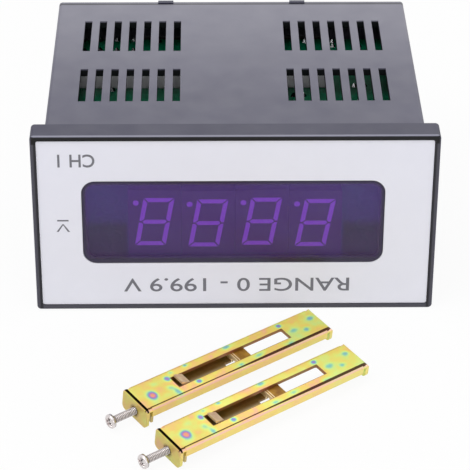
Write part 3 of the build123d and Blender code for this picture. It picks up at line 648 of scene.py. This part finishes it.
@dataclass(frozen=True)
class PassivatedZinc(Finish):
    """Yellow passivated zinc: the thickness of its film gives gold, green, blue, violet and pink in turn.

    The film is cloudy all over and thick in a few spots where drops dried. Painted shade darkens the bends and the
    fold at the near end and, with darker cut metal, the window's edges; a painted pink highlight runs beside the
    long bends. Places are in the clamp's own axes: along it from its near end, across it, and up from the web's
    upper face.
    A spot is its place along and across, its length and width, all in millimetres, and how thick it is.
    """

    origin: Point
    turn: Point
    half_width: float = 4.6 * MM
    screw_drop: float = 3.3 * MM
    window: Tuple[float, float, float] = (11.1 * MM, 43.8 * MM, 1.8 * MM)
    spots: Tuple[Tuple[float, float, float, float, float], ...] = (
        (4.2, -0.9, 1.1, 1.25, 0.95), (10.3, 1.9, 0.75, 0.85, 0.62), (9.2, -0.9, 0.9, 0.9, 0.27),
        (10.0, -3.0, 0.8, 1.5, 0.33), (6.5, 1.8, 1.0, 0.8, 0.16), (16.1, -2.6, 0.75, 0.7, 0.6),
        (16.5, 3.5, 0.8, 0.5, 0.36), (28.6, 3.5, 1.3, 0.8, 0.42), (27.7, -3.2, 1.1, 0.6, 0.26),
        (33.4, -2.8, 1.4, 0.7, 0.28), (42.4, -3.4, 1.3, 0.7, 0.27), (43.8, 2.9, 0.7, 0.65, 0.56),
        (45.9, -0.2, 1.2, 0.8, 0.26), (48.8, -1.5, 0.9, 0.8, 0.36), (52.1, 1.2, 1.0, 0.8, 0.3),
        (12.1, 3.2, 0.8, 0.6, 0.22), (3.4, -3.1, 2.0, 1.2, 0.17), (7.4, -2.9, 1.5, 1.4, 0.1))
    stops: Tuple[Tuple[float, Colour], ...] = (
        (0.0, shade(255, 196, 150)), (0.05, shade(255, 212, 122)), (0.11, shade(250, 228, 108)),
        (0.18, shade(240, 242, 122)), (0.28, shade(218, 250, 148)), (0.4, shade(146, 220, 190)),
        (0.53, shade(134, 164, 214)), (0.66, shade(168, 126, 212)), (0.8, shade(226, 126, 172)),
        (0.95, shade(252, 166, 124)))
    far_end: Step = (41 * MM, 46 * MM)
    near_end: Step = (13 * MM, 7 * MM)
    end_face: Step = (0.12 * MM, 0.04 * MM)
    # painted shade round the screw on the near face
    screw_shade_ring: Step = (1.9 * MM, 0.9 * MM)
    flank: Step = (4.3 * MM, 4.5 * MM)
    down_flank: Step = (-1.4 * MM, -4.4 * MM)
    near_side: Step = (0.0, -1.0 * MM)
    thickening: Step = (20 * MM, 40 * MM)
    bend_line: float = 3.88 * MM
    # painted shade along the long bends
    bend_shade_width: Step = (0.07 * MM, 0.2 * MM)
    top: Step = (-1.0 * MM, -0.6 * MM)
    # painted pink highlight just below the top, beside each long bend
    pink_highlight_drop: float = 0.42 * MM
    pink_highlight_width: Step = (0.12 * MM, 0.3 * MM)
    # painted shade along the fold at the near end
    fold_place: float = 0.4 * MM
    fold_shade_width: Step = (0.16 * MM, 0.32 * MM)
    # the window's edges: darker cut metal, with painted shade on its walls
    cut_width: Step = (0.02 * MM, 0.18 * MM)
    cut_height: Step = (-1.5 * MM, -1.2 * MM)

    def film(self, graph: Graph, x: Wire, y: Wire) -> Wire:
        """Film thickness: clouds, thicker at the far end, and a heap for each spot.

        A heap is its height times e to the power of less the squared distance from its middle, in its own sizes.

        Args:
            graph: The material's graph.
            x: Distance along the clamp.
            y: Distance across it.

        Returns:
            The thickness, from nought to about one.
        """
        far = graph.rise(x, *self.far_end)
        total = graph.clouds(5 * MM, 0.0, 0.18, 2.0) + far * 0.08
        total = total + graph.clouds(1.8 * MM, -0.04, 0.04)
        for along, across, long, wide, height in self.spots:
            off_x = (x - along * MM) / (long * MM)
            off_y = (y - across * MM) / (wide * MM)
            total = total + (0 - (off_x * off_x + off_y * off_y)).exp() * height
        return total

    def sockets(self, graph: Graph) -> Dict[str, Any]:
        """Colour by film thickness, with lines of painted shade and a painted pink highlight along the bends. The
        painted dark ones mirror nothing.
        """
        x, y, z = graph.split(graph.turned(self.origin, self.turn))
        colour = graph.ramp(self.film(graph, x, y), self.stops)
        colour = graph.mix(graph.rise(x, *self.near_end) * 0.16, colour, shade(120, 104, 60))
        # dark: the share of painted shade at each place, which also raises Metallic
        colour, dark = self.lined(graph, self.flanked(graph, colour, x, y, z), x, y, z)
        return {"Base Color": colour, "Roughness": graph.clouds(3 * MM, 0.3, 0.42), "Metallic": 0.2 + dark * 0.8,
                "Normal": graph.bump(graph.noise(0.6 * MM), 0.01 * MM, 0.5)}

    def flanked(self, graph: Graph, colour: Wire, x: Wire, y: Wire, z: Wire) -> Wire:
        """Plainer gold on the flanges, olive down at their edges, and a darker near face with painted shade round
        the screw.

        Args:
            graph: The material's graph.
            colour: The film's colour.
            x: Distance along the clamp.
            y: Distance across it.
            z: Height above the web's upper face.

        Returns:
            The colour with the flanges and the near face changed.
        """
        gold = graph.mix(graph.rise(z, *self.down_flank), shade(252, 222, 128), shade(232, 220, 118))
        colour = graph.mix(graph.rise(abs(y), *self.flank) * 0.7, colour, gold)
        end = graph.rise(x, *self.end_face)
        colour = graph.mix(end * 0.4, colour, shade(160, 146, 80))
        below = z + self.screw_drop
        # painted shade round the screw on the near face
        ring = graph.rise((y * y + below * below).root(), *self.screw_shade_ring)
        return graph.mix(ring * end * 0.8, colour, shade(64, 46, 18))

    def lined(self, graph: Graph, colour: Wire, x: Wire, y: Wire, z: Wire) -> Tuple[Wire, Wire]:
        """Painted shade and a painted pink highlight along the bends, dark cut edges of the window with painted
        shade on its walls, and painted shade on the fold at the near end.

        Args:
            graph: The material's graph.
            colour: The film's colour.
            x: Distance along the clamp.
            y: Distance across it.
            z: Height above the web's upper face.

        Returns:
            The colour with its lines, and how much painted shade each place gets.
        """
        near = graph.rise(y, *self.near_side)
        thick = graph.rise(x, *self.thickening) * near
        line = abs(y) - self.bend_line
        on_top = graph.rise(z, *self.top)
        # painted shade along the long bends, wider towards the far end on the near side
        bend = 1 - graph.rise(abs(line) - thick * (0.2 * MM), *self.bend_shade_width)
        # painted pink highlight beside each long bend
        pink = graph.line(z + self.pink_highlight_drop, *self.pink_highlight_width) * graph.rise(line, 0.05 * MM, 0.3 * MM)
        start, end, half = self.window
        beyond = (start - x).largest(x - end).largest(abs(y) - half)
        # darker cut metal on the window's edges, with painted shade on its walls
        cut = 1 - graph.rise(beyond, *self.cut_width)
        bend_shade_share = bend * on_top * (0.12 + near * 0.83)
        cut_and_shade_share = cut * graph.rise(z, *self.cut_height) * 0.85
        # painted shade along the fold at the near end
        fold_shade_share = graph.line(x - self.fold_place, *self.fold_shade_width) * on_top
        for share, ink in ((pink * 0.8, shade(252, 198, 186)), (bend_shade_share, shade(66, 20, 34)),
                           (cut_and_shade_share, shade(118, 42, 42)), (fold_shade_share, shade(12, 7, 3))):
            colour = graph.mix(share, colour, ink)
        return colour, bend_shade_share.largest(cut_and_shade_share * 0.6).largest(fold_shade_share)


@dataclass(frozen=True)
class BronzedZinc(PassivatedZinc):
    """The slider's film, thicker and browner, with painted shade on the far side down in the channel, a tan hook
    above the web, and painted highlights along the riser's folds.
    """

    riser: Tuple[float, float] = (28.7 * MM, 29.3 * MM)
    # painted highlights along the riser's folds
    riser_highlight_width: Step = (0.08 * MM, 0.2 * MM)
    # painted shade: down in the channel the colour darkens from the near side to the far side
    across: Step = (-1.6 * MM, 1.4 * MM)
    deeper: Step = (-1.3 * MM, -1.9 * MM)
    above_web: Step = (-0.75 * MM, -0.45 * MM)
    ear: Step = (4.0 * MM, 3.0 * MM)

    def sockets(self, graph: Graph) -> Dict[str, Any]:
        """Brown by depth and place on the clamp, with painted shade to the far side down in the channel, tan above
        the web, and painted highlights along the riser's folds.
        """
        x, y, z = graph.split(graph.turned(self.origin, self.turn))
        cloud = graph.clouds(2.2 * MM)
        shallow = graph.mix(cloud, shade(196, 148, 52), shade(142, 98, 34))
        # painted shade on the far side of the channel
        deep_with_far_shade = graph.mix(graph.rise(y, *self.across), shade(255, 246, 206), shade(122, 90, 40))
        deep_with_far_shade = graph.mix(cloud * 0.35, deep_with_far_shade, shade(150, 128, 88))
        colour = graph.mix(graph.rise(z, *self.deeper), shallow, deep_with_far_shade)
        # painted highlights along the riser's folds
        for fold in self.riser:
            colour = graph.mix(graph.line(x - fold, *self.riser_highlight_width), colour, shade(250, 226, 178))
        tan = graph.mix(cloud, shade(255, 232, 182), shade(232, 190, 148))
        colour = graph.mix(graph.rise(z, *self.above_web), colour, tan)
        colour = graph.mix(graph.rise(x, *self.ear), colour, shade(206, 186, 120))
        return {"Base Color": colour, "Roughness": graph.clouds(3 * MM, 0.3, 0.42), "Metallic": 0.5,
                "Normal": graph.bump(graph.noise(0.6 * MM), 0.01 * MM, 0.5)}


class Plastics(Enum):
    """The plain plastics of the meter."""

    CASE = ShellPlastic("case_grey", shade(81, 80, 98), 0.46, gloss=0.4)
    BEZEL = RimPlastic("bezel_grey", shade(64, 63, 81), 0.48, dust=0.035, gloss=0.3)
    COVER = TabbedPlastic("cover_grey", shade(105, 104, 118), 0.46, gloss=0.4)
    MODULE = GrainedPlastic("module_face", shade(56, 38, 82), 0.6)
    BLACK = GrainedPlastic("black_plastic", shade(30, 30, 32), 0.5)
    STRIP = GrainedPlastic("terminal_black", shade(36, 37, 40), 0.45, dust=0.02)
    SHEET = GrainedPlastic("insulating_sheet", shade(236, 238, 242), 0.6, clouds=0.06)
    SLEEVE = GrainedPlastic("sleeve_blue", shade(34, 48, 96), 0.3)
    FILM = GrainedPlastic("film_box", shade(170, 96, 40), 0.3)
    CERAMIC = GrainedPlastic("ceramic_disc", shade(176, 120, 60), 0.45)
    TRIMMER = GrainedPlastic("trimmer_blue", shade(40, 84, 160), 0.35)
    WINDING = GrainedPlastic("winding_tape", shade(190, 150, 60), 0.35, clouds=0.15)
    RESISTOR = BandedBody("resistor_lacquer", shade(190, 168, 128), 0.4, axis=0, centre=35.4 * MM, bands=(
        (-1.8 * MM, shade(120, 70, 30)), (-0.6 * MM, shade(20, 20, 20)), (0.6 * MM, shade(190, 60, 40)),
        (2.2 * MM, shade(190, 150, 60))))
    DIODE = BandedBody("diode_black", shade(28, 28, 30), 0.4, axis=1, centre=61.2 * MM,
                       bands=((1.3 * MM, shade(190, 190, 192)),))


class Metals(Enum):
    """The plain metals of the meter."""

    SOLDER = BareMetal("solder_tin", shade(246, 248, 250), 0.16)
    PIN = BareMetal("pin_tin", shade(200, 200, 200), 0.3)
    ZINC = BareMetal("bright_zinc", shade(228, 221, 220), 0.24)
    # painted shade down in the thread's grooves
    GROOVE = BareMetal("zinc_in_grooves", shade(148, 140, 138), 0.4)
    # painted shade in the head's cross recess
    RECESS = BareMetal("zinc_in_recess", shade(24, 20, 20), 0.4)
    BRASS = BareMetal("brass", shade(206, 170, 92), 0.28)
    IRON = StackedSheets("iron_sheets", shade(120, 120, 124), 0.4)


INK = GrainedPlastic("print_grey", shade(110, 110, 118), 0.55, clouds=0.08)


def dress(node: str, finish: Finish) -> None:
    """Give a CAD node a finish.

    Args:
        node: The node's name.
        finish: The finish it gets.
    """
    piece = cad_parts[node]
    piece.data.materials.clear()
    piece.data.materials.append(finish.material())
    log.info("dressed %s in %s", node, finish.name)


def linked(name: str, data: bpy.types.ID) -> bpy.types.Object:
    """Make an object of a mesh, a curve, a lamp or a camera, and link it to the scene."""
    made = bpy.data.objects.new(name, data)
    bpy.context.scene.collection.objects.link(made)
    return made


def settle(piece: bpy.types.Object, body: str) -> None:
    """Let a finished piece ride on its body and report it.

    Args:
        piece: The piece.
        body: The body's name.
    """
    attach(piece, body)
    log.info("made %s", piece.name)


def new_mesh(name: str, points: np.ndarray, faces: Sequence[Sequence[int]], finish: Finish,
             smooth: bool = True) -> bpy.types.Object:
    """Make an object at the origin from points and faces.

    Args:
        name: The piece's name.
        points: Points, one row each.
        faces: Point numbers of each face.
        finish: The finish it gets.
        smooth: Whether its faces are shaded smooth.

    Returns:
        The object.
    """
    mesh = bpy.data.meshes.new(name)
    mesh.from_pydata(points.tolist(), [], [list(face) for face in faces])
    mesh.polygons.foreach_set("use_smooth", np.full(len(mesh.polygons), smooth))
    mesh.materials.append(finish.material())
    mesh.update()
    return linked(name, mesh)


def points_of(mesh: bpy.types.Mesh) -> np.ndarray:
    """A mesh's points, one row each."""
    points = np.empty(len(mesh.vertices) * 3)
    mesh.vertices.foreach_get("co", points)
    return points.reshape(-1, 3)


def merged_copy(node: str, name: str) -> bpy.types.Mesh:
    """Copy a CAD node's mesh with its loose triangles joined along their edges, shaded as they were.

    Args:
        node: The node's name.
        name: The copy's name.

    Returns:
        The copy.
    """
    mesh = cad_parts[node].data.copy()
    mesh.name = name
    normals = np.empty(len(mesh.loops) * 3)
    mesh.corner_normals.foreach_get("vector", normals)
    shell = bmesh.new()
    shell.from_mesh(mesh)
    bmesh.ops.remove_doubles(shell, verts=shell.verts, dist=JOIN)
    shell.to_mesh(mesh)
    shell.free()
    mesh.normals_split_custom_set(normals.reshape(-1, 3))
    return mesh


def grid_faces(rows: int, columns: int, closed: bool, first: int = 0) -> np.ndarray:
    """Faces of a grid of points stored row by row.

    Args:
        rows: Number of rows.
        columns: Number of points in a row.
        closed: Whether the last column joins the first.
        first: Number of the grid's first point.

    Returns:
        One row of four point numbers for each face: a point, its neighbour in the row, and the same in the
        next row.
    """
    across = np.arange(columns if closed else columns - 1)
    row, column = np.meshgrid(np.arange(rows - 1), across, indexing="ij")
    beside = (column + 1) % columns
    corners = [row * columns + column, row * columns + beside, (row + 1) * columns + beside,
               (row + 1) * columns + column]
    return np.stack(corners, axis=-1).reshape(-1, 4) + first


class Print(Enum):
    """What is printed on the plate: text, height, centre in X and Z, width, and how bold it is, in millimetres."""

    RANGE = ("RANGE 0 - 199.9 V", 3.8, (0.42, -17.15), 54.5, 0.006)
    CHANNEL = ("CH 1", 3.5, (-37.35, 17.3), 8.7, 0.012)


@dataclass
class Front:
    """Bezel, printed plate and what is printed on it. The sign's places and strokes are in millimetres."""

    plate_front: float = -5.7 * MM
    ink: float = 0.02 * MM
    letter_steps: int = 6
    sign_bar: Tuple[float, float, float, float] = (-42.3, -39.6, 0.85, 1.25)
    sign_apex: Tuple[float, float] = (-40.95, -2.05)
    sign_feet: Tuple[float, float] = (1.35, 0.05)
    sign_stroke: float = 0.26
    sign_point: float = 0.6

    def build(self) -> None:
        """Dress the bezel and the plate, and print the plate."""
        dress("front_bezel", Plastics.BEZEL.value)
        dress("face_plate", PrintedPlate("printed_plate"))
        for line in Print:
            self.print_line(line)
        self.print_sign()

    def print_line(self, line: Print) -> None:
        """Lay one line of text on the plate, its top towards -Z, as a thin layer of ink.

        The letters are drawn a unit thick, then each axis is scaled to the size that the line has on the plate.

        Args:
            line: What to print and where.
        """
        words, height, (x, z), width, bold = line.value
        curve = bpy.data.curves.new(line.name.lower(), "FONT")
        curve.body = words
        curve.offset = bold
        curve.resolution_u = self.letter_steps
        curve.extrude = 0.5
        source = linked("source", curve)
        bpy.context.view_layer.update()
        mesh = bpy.data.meshes.new_from_object(source)
        bpy.data.objects.remove(source)
        points = points_of(mesh)
        low, high = points.min(axis=0), points.max(axis=0)
        share = (points - (low + high) / 2) / (high - low)
        placed = np.stack([(x - share[:, 0] * width) * MM, self.plate_front - (0.5 + share[:, 2]) * self.ink,
                           (z - share[:, 1] * height) * MM], axis=-1)
        mesh.vertices.foreach_set("co", placed.ravel())
        mesh.materials.clear()
        mesh.materials.append(INK.material())
        mesh.update()
        settle(linked("print_" + line.name.lower(), mesh), METER)

    def print_sign(self) -> None:
        """Lay the sign for a steady voltage: a letter V upside down and the bar over it, as flat strokes."""
        x_low, x_high, z_low, z_high = self.sign_bar
        bar = np.array([(x_low, z_low), (x_high, z_low), (x_high, z_high), (x_low, z_high)])
        apex_x, foot_z = self.sign_apex
        half, top_z = self.sign_feet
        stroke, point = self.sign_stroke, self.sign_stroke * self.sign_point
        left = np.array([(apex_x - half - stroke, foot_z), (apex_x - half + stroke, foot_z),
                         (apex_x + point, top_z), (apex_x - point, top_z)])
        right = left * np.array([-1, 1]) + np.array([2 * apex_x, 0])
        outlines = np.stack([bar, left, right[::-1]])
        front, back = self.plate_front - self.ink, self.plate_front
        layers = np.stack([np.insert(outlines * MM, 1, depth, axis=2) for depth in (front, back)], axis=1)
        faces: List[List[int]] = []
        for first in range(0, len(outlines) * 8, 8):
            faces.append([first, first + 1, first + 2, first + 3])
            faces.append([first + 7, first + 6, first + 5, first + 4])
            faces += [[first + (k + 1) % 4, first + k, first + k + 4, first + (k + 1) % 4 + 4] for k in range(4)]
        sign = new_mesh("print_volt_sign", layers.reshape(-1, 3), faces, INK, smooth=False)
        settle(sign, METER)


@dataclass
class Readout:
    """Window, display modules and their light bars."""

    digits: int = 4

    def build(self) -> None:
        """Dress the window, the modules and the light bars."""
        dress("display_window", TintedFilter("tinted_filter"))
        for number in range(1, self.digits + 1):
            dress(f"led_digit_{number}", Plastics.MODULE.value)
            dress(f"digit_segments_{number}", SegmentResin("segment_resin"))


@dataclass
class Electronics:
    """Boards and what they carry."""

    finishes: Dict[str, Finish] = field(default_factory=lambda: {
        "display_board": BoardLacquer("board_lacquer"), "main_board": BoardLacquer("board_lacquer"),
        "solder_joints": Metals.SOLDER.value, "header_pins": Metals.PIN.value,
        "board_header": Plastics.BLACK.value, "chip_socket": Plastics.BLACK.value,
        "converter_chip": Plastics.BLACK.value, "insulating_sheet": Plastics.SHEET.value,
        "transformer_core": Metals.IRON.value, "transformer_coil": Plastics.WINDING.value,
        "electrolytic_capacitors": Plastics.SLEEVE.value, "film_capacitors": Plastics.FILM.value,
        "disc_capacitors": Plastics.CERAMIC.value, "voltage_regulator": Plastics.BLACK.value,
        "resistors": Plastics.RESISTOR.value, "rectifier_diodes": Plastics.DIODE.value,
        "trimmer_body": Plastics.TRIMMER.value, "trimmer_screw": Metals.BRASS.value})

    def build(self) -> None:
        """Dress each part on the boards."""
        for node, finish in self.finishes.items():
            dress(node, finish)


@dataclass
class Housing:
    """Case, rear cover and terminal strip."""

    terminals: int = 6

    def build(self) -> None:
        """Dress the case, the cover, the strip and its screws."""
        dress("case", Plastics.CASE.value)
        dress("rear_cover", Plastics.COVER.value)
        dress("terminal_block", Plastics.STRIP.value)
        dress("terminal_clamp_boxes", Metals.ZINC.value)
        for number in range(1, self.terminals + 1):
            dress(f"terminal_screw_{number}", Metals.ZINC.value)


@dataclass
class ClampScrew:
    """Pan-head screw with a rolled thread and a cross recess, in millimetres. Its X axis runs from head to tip."""

    drop: float = 3.3
    stand: float = 6.2
    reach: float = 7.4
    core: float = 0.74
    crest: float = 0.94
    pitch: float = 0.4
    plain: float = 0.5
    point: float = 0.5
    point_share: float = 0.72
    head: float = 1.7
    head_height: float = 1.2
    dome: float = 0.7
    dome_share: float = 0.985
    under_share: float = 0.985
    cross_half: float = 1.15
    cross_width: float = 0.34
    cross_depth: float = 0.7
    cross_wall: float = 0.12
    around: int = 32
    rings_per_pitch: int = 8
    head_cells: int = 64

    def shank(self) -> Tuple[np.ndarray, np.ndarray]:
        """Thread as a function of the distance along the screw and the angle about it.

        The radius is a triangle wave between core and crest of (distance / pitch - angle / whole turn). It fades
        to a plain neck under the head and to a cone at the tip.

        Returns:
            Points and faces, with both ends closed by a last ring of no radius.
        """
        rows = int(round((self.stand + self.reach) / self.pitch * self.rings_per_pitch))
        along = np.linspace(-self.stand, self.reach, rows)
        angle = np.arange(self.around) * 2 * np.pi / self.around
        far, turn = np.meshgrid(along, angle, indexing="ij")
        wave = 1 - np.abs(2 * np.mod(far / self.pitch - turn / (2 * np.pi), 1.0) - 1)
        start = np.clip((far + self.stand - self.plain) / self.pitch, 0, 1)
        end = np.clip((self.reach - far) / self.point, 0, 1)
        taper = self.point_share + (1 - self.point_share) * end
        radius = (self.core + (self.crest - self.core) * wave * start) * taper
        radius[[0, -1]] = 0.0
        far[0] = far[1]
        points = np.stack([far, radius * np.cos(turn), radius * np.sin(turn)], axis=-1)
        return points.reshape(-1, 3), grid_faces(rows, self.around, True)[:, ::-1]

    def crown(self) -> Tuple[np.ndarray, np.ndarray]:
        """Head as a height over a disc: a dome less a cross, then down its rim and back to the shank.

        A square grid is drawn to a disc by x = u * sqrt(1 - v * v / 2) and y = v * sqrt(1 - u * u / 2). The dome's
        height is the root of what is left of one after the square of the distance. The cross is two bars whose
        walls slope over a short way.

        Returns:
            Points and faces of the closed head.
        """
        side = np.linspace(-1, 1, self.head_cells)
        u, v = np.meshgrid(side, side, indexing="ij")
        y = self.head * u * np.sqrt(1 - v * v / 2)
        z = self.head * v * np.sqrt(1 - u * u / 2)
        share = np.clip((y * y + z * z) / self.head ** 2, 0, 1)
        rise = self.head_height - self.dome + self.dome * np.sqrt(1 - share * self.dome_share)
        wall = self.cross_wall
        narrow, long = np.minimum(np.abs(y), np.abs(z)), np.maximum(np.abs(y), np.abs(z))
        across = np.clip((self.cross_width + wall - narrow) / wall, 0, 1)
        ended = np.clip((self.cross_half + wall - long) / wall, 0, 1)
        rise = rise - self.cross_depth * across * ended
        top = np.stack([-self.stand - rise, y, z], axis=-1)
        bottom = np.stack([np.full_like(y, -self.stand), y * self.under_share, z * self.under_share], axis=-1)
        size = self.head_cells
        upper = grid_faces(size, size, False)
        lower = grid_faces(size, size, False, size * size)[:, ::-1]
        index = np.arange(size * size).reshape(size, size)
        rim = np.concatenate([index[0, :-1], index[:-1, -1], index[-1, :0:-1], index[:0:-1, 0]])
        after = np.roll(rim, -1)
        sides = np.stack([after, rim, rim + size * size, after + size * size], axis=-1)
        points = np.concatenate([top.reshape(-1, 3), bottom.reshape(-1, 3)])
        return points, np.concatenate([upper[:, ::-1], lower[:, ::-1], sides[:, ::-1]])

    def grooves(self, points: np.ndarray, faces: np.ndarray, shank_faces: int) -> np.ndarray:
        """Find the faces down in the thread and in the cross recess, which get painted shade.

        Args:
            points: Points of shank and head, in the screw's own axes.
            faces: Faces of shank and head.
            shank_faces: How many of the faces are the shank's. The head's outer face follows them.

        Returns:
            One for each face in the thread's groove, two for each in the recess, else nought.
        """
        middle = points[faces].mean(axis=1)
        radius = np.hypot(middle[:, 1], middle[:, 2])
        low = (radius < (self.core + self.crest) / 2) & (middle[:, 0] > self.plain - self.stand)
        narrow = np.minimum(np.abs(middle[:, 1]), np.abs(middle[:, 2]))
        cross = (radius < self.cross_half) & (narrow < self.cross_width)
        order = np.arange(len(faces))
        outer = (order >= shank_faces) & (order < shank_faces + (self.head_cells - 1) ** 2)
        return np.where(order < shank_faces, low, 2 * (cross & outer)).astype(np.int32)

    def build(self, name: str, place: Matrix) -> bpy.types.Object:
        """Join shank and head and put them where the screw is.

        Args:
            name: The piece's name.
            place: The clamp's own axes.

        Returns:
            The piece.
        """
        shank, shank_faces = self.shank()
        head, head_faces = self.crown()
        points = np.concatenate([shank, head])
        faces = np.concatenate([shank_faces, head_faces + len(shank)])
        grooves = self.grooves(points, faces, len(shank_faces))
        points[:, 2] -= self.drop
        turn = np.array(place.to_3x3())
        world = points * MM @ turn.T + np.array(place.translation)
        piece = new_mesh(name, world, faces, Metals.ZINC.value)
        # painted shade: darker zinc in the thread's grooves and the cross recess
        for metal in (Metals.GROOVE, Metals.RECESS):
            piece.data.materials.append(metal.value.material())
        piece.data.polygons.foreach_set("material_index", grooves)
        return piece


@dataclass
class PanelClamp:
    """One mounting clamp: pressed channel, hook slider and screw, lying a little on its side, in millimetres."""

    number: int
    near_end: Tuple[float, float]
    yaw: float = math.radians(37.5)
    lean: float = math.radians(8.0)
    half_width: float = 4.6
    flange: float = 5.5
    corner: float = 1.2
    bend: float = 1.0
    floor: float = -24.0

    def press(self, place: Matrix) -> None:
        """Make the channel with ends as round as its long bends: no point is wider than the bend at its height.

        Above the bend's centre the half width is what is left of it beside an arc, so a point that stands out
        there is pressed in. All others stay. The channel stands for its CAD node and has its finish.

        Args:
            place: The clamp's own axes.
        """
        node = f"clamp_channel_{self.number}"
        mesh = merged_copy(node, f"pressed_channel_{self.number}")
        turn, start = np.array(place.to_3x3()), np.array(place.translation)
        own = (points_of(mesh) - start) @ turn / MM
        rise = np.clip(own[:, 2] + self.bend, 0, self.bend)
        widest = self.half_width - self.bend + np.sqrt(self.bend ** 2 - rise ** 2)
        own[:, 1] = np.sign(own[:, 1]) * np.minimum(np.abs(own[:, 1]), widest)
        mesh.vertices.foreach_set("co", (own * MM @ turn.T + start).ravel())
        mesh.update()
        piece = linked(mesh.name, mesh)
        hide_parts(node)
        settle(piece, METER)

    def origin(self) -> Point:
        """The near end of the channel's web, which is as high as its deepest rounded corner allows."""
        across = self.half_width - self.corner
        down = self.flange - self.corner
        rest = across * math.sin(self.lean) + down * math.cos(self.lean) + self.corner
        return self.near_end[0] * MM, self.near_end[1] * MM, (self.floor + rest) * MM

    def build(self) -> None:
        """Dress and press the channel, dress the slider, and make the screw."""
        origin, turn = self.origin(), (self.lean, 0.0, self.yaw)
        place = (Matrix.Translation(origin) @ Matrix.Rotation(self.yaw, 4, "Z")
                 @ Matrix.Rotation(self.lean, 4, "X"))
        dress(f"clamp_channel_{self.number}", PassivatedZinc(f"passivated_zinc_{self.number}", origin, turn))
        self.press(place)
        dress(f"hook_slider_{self.number}", BronzedZinc(f"bronzed_zinc_{self.number}", origin, turn))
        screw = ClampScrew().build(f"threaded_screw_{self.number}", place)
        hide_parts(f"clamp_screw_{self.number}")
        settle(screw, f"clamp_screw_{self.number}_body")


@dataclass
class Studio:
    """White surface, soft lights and the camera. A lamp is its name, place, side and power."""

    eye: Point = (-7.64 * MM, -466.59 * MM, 277.24 * MM)
    elevation: float = math.radians(31.309)
    yaw: float = math.radians(0.947)
    roll: float = math.radians(0.262)
    lens: float = 173.0
    sensor: float = 36.0
    nearest: float = 10 * MM
    floor: float = -24.02 * MM
    floor_size: float = 6.0
    floor_grey: float = 0.9
    shadow: float = 0.07
    ambient: float = 0.54
    lamps: Tuple[Tuple[str, Point, float, float], ...] = (
        ("soft_above", (-0.35, -0.35, 0.85), 0.7, 4.4), ("soft_behind", (0.15, 0.75, 0.42), 0.8, 1.6),
        ("soft_front", (0.45, -0.9, 0.35), 0.6, 1.9))

    def build(self) -> None:
        """Make everything that is not part of the object."""
        self.make_world()
        self.make_floor()
        for lamp in self.lamps:
            self.make_light(*lamp)
        self.make_camera()

    def background(self, graph: Graph) -> Wire:
        """One for rays that see the background itself, through the camera, in gloss or through glass."""
        rays = graph.node("ShaderNodeLightPath")
        seen, gloss, through = (Wire(graph, rays.outputs[name]) for name in
                                ("Is Camera Ray", "Is Glossy Ray", "Is Transmission Ray"))
        return seen.largest(gloss).largest(through)

    def make_world(self) -> None:
        """White where it is seen, and dimmer as a lamp."""
        world = bpy.data.worlds.new("white")
        world.use_nodes = True
        bpy.context.scene.world = world
        graph = WorldGraph(world)
        strength = self.ambient + self.background(graph) * (1.0 - self.ambient)
        back = graph.node("ShaderNodeBackground", None, {"Color": (1.0, 1.0, 1.0), "Strength": strength})
        graph.close(back, "ShaderNodeOutputWorld")

    def make_floor(self) -> None:
        """A white plane that keeps a share of the shadows."""
        graph = Graph("white_surface")
        seen = self.background(graph)
        plain = graph.node("ShaderNodeBsdfDiffuse", None, {"Color": (self.floor_grey,) * 3})
        glow = graph.node("ShaderNodeEmission", None, {"Color": (1.0, 1.0, 1.0), "Strength": 1.0})
        graph.close(graph.node("ShaderNodeMixShader", None, {
            0: seen * (1 - self.shadow), 1: Wire(graph, plain.outputs[0]), 2: Wire(graph, glow.outputs[0])}))
        half = self.floor_size / 2
        mesh = bpy.data.meshes.new("floor")
        mesh.from_pydata([(-half, -half, self.floor), (half, -half, self.floor), (half, half, self.floor),
                          (-half, half, self.floor)], [], [[0, 1, 2, 3]])
        mesh.materials.append(graph.material)
        linked("floor", mesh)

    def make_light(self, name: str, place: Point, size: float, power: float) -> None:
        """One square soft light turned to the meter.

        Args:
            name: The light's name.
            place: Where it hangs.
            size: Its side, in metres.
            power: Its power, in watts.
        """
        lamp = bpy.data.lights.new(name, "AREA")
        lamp.size = size
        lamp.energy = power
        made = linked(name, lamp)
        made.location = place
        made.rotation_euler = (-Vector(place)).to_track_quat("-Z", "Y").to_euler()

    def make_camera(self) -> None:
        """The camera of the photograph: its axes from its yaw, elevation and roll."""
        flat, level = math.cos(self.elevation), math.sin(self.elevation)
        ahead = Vector((math.sin(self.yaw) * flat, math.cos(self.yaw) * flat, -level))
        side = Vector((math.cos(self.yaw), -math.sin(self.yaw), 0.0))
        above = side.cross(ahead)
        right = side * math.cos(self.roll) + above * math.sin(self.roll)
        up = above * math.cos(self.roll) - side * math.sin(self.roll)
        axes = Matrix((right, up, -ahead)).transposed().to_4x4()
        lens = bpy.data.cameras.new("camera")
        lens.lens = self.lens
        lens.sensor_width = self.sensor
        lens.clip_start = self.nearest
        made = linked("camera", lens)
        made.matrix_world = Matrix.Translation(self.eye) @ axes
        bpy.context.scene.camera = made


CLAMPS = ((-23.0, -52.2), (-15.4, -67.1))  # X and Y of each clamp's near end, in millimetres


def main() -> None:
    """Build the sub-assemblies in order."""
    logging.basicConfig(level=logging.INFO, format="%(name)s: %(message)s")
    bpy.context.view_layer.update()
    bpy.context.scene.view_settings.view_transform = "Standard"
    Studio().build()
    Front().build()
    Readout().build()
    Electronics().build()
    Housing().build()
    for number, near_end in enumerate(CLAMPS, 1):
        PanelClamp(number, near_end).build()


if __name__ == "__main__":
    main()
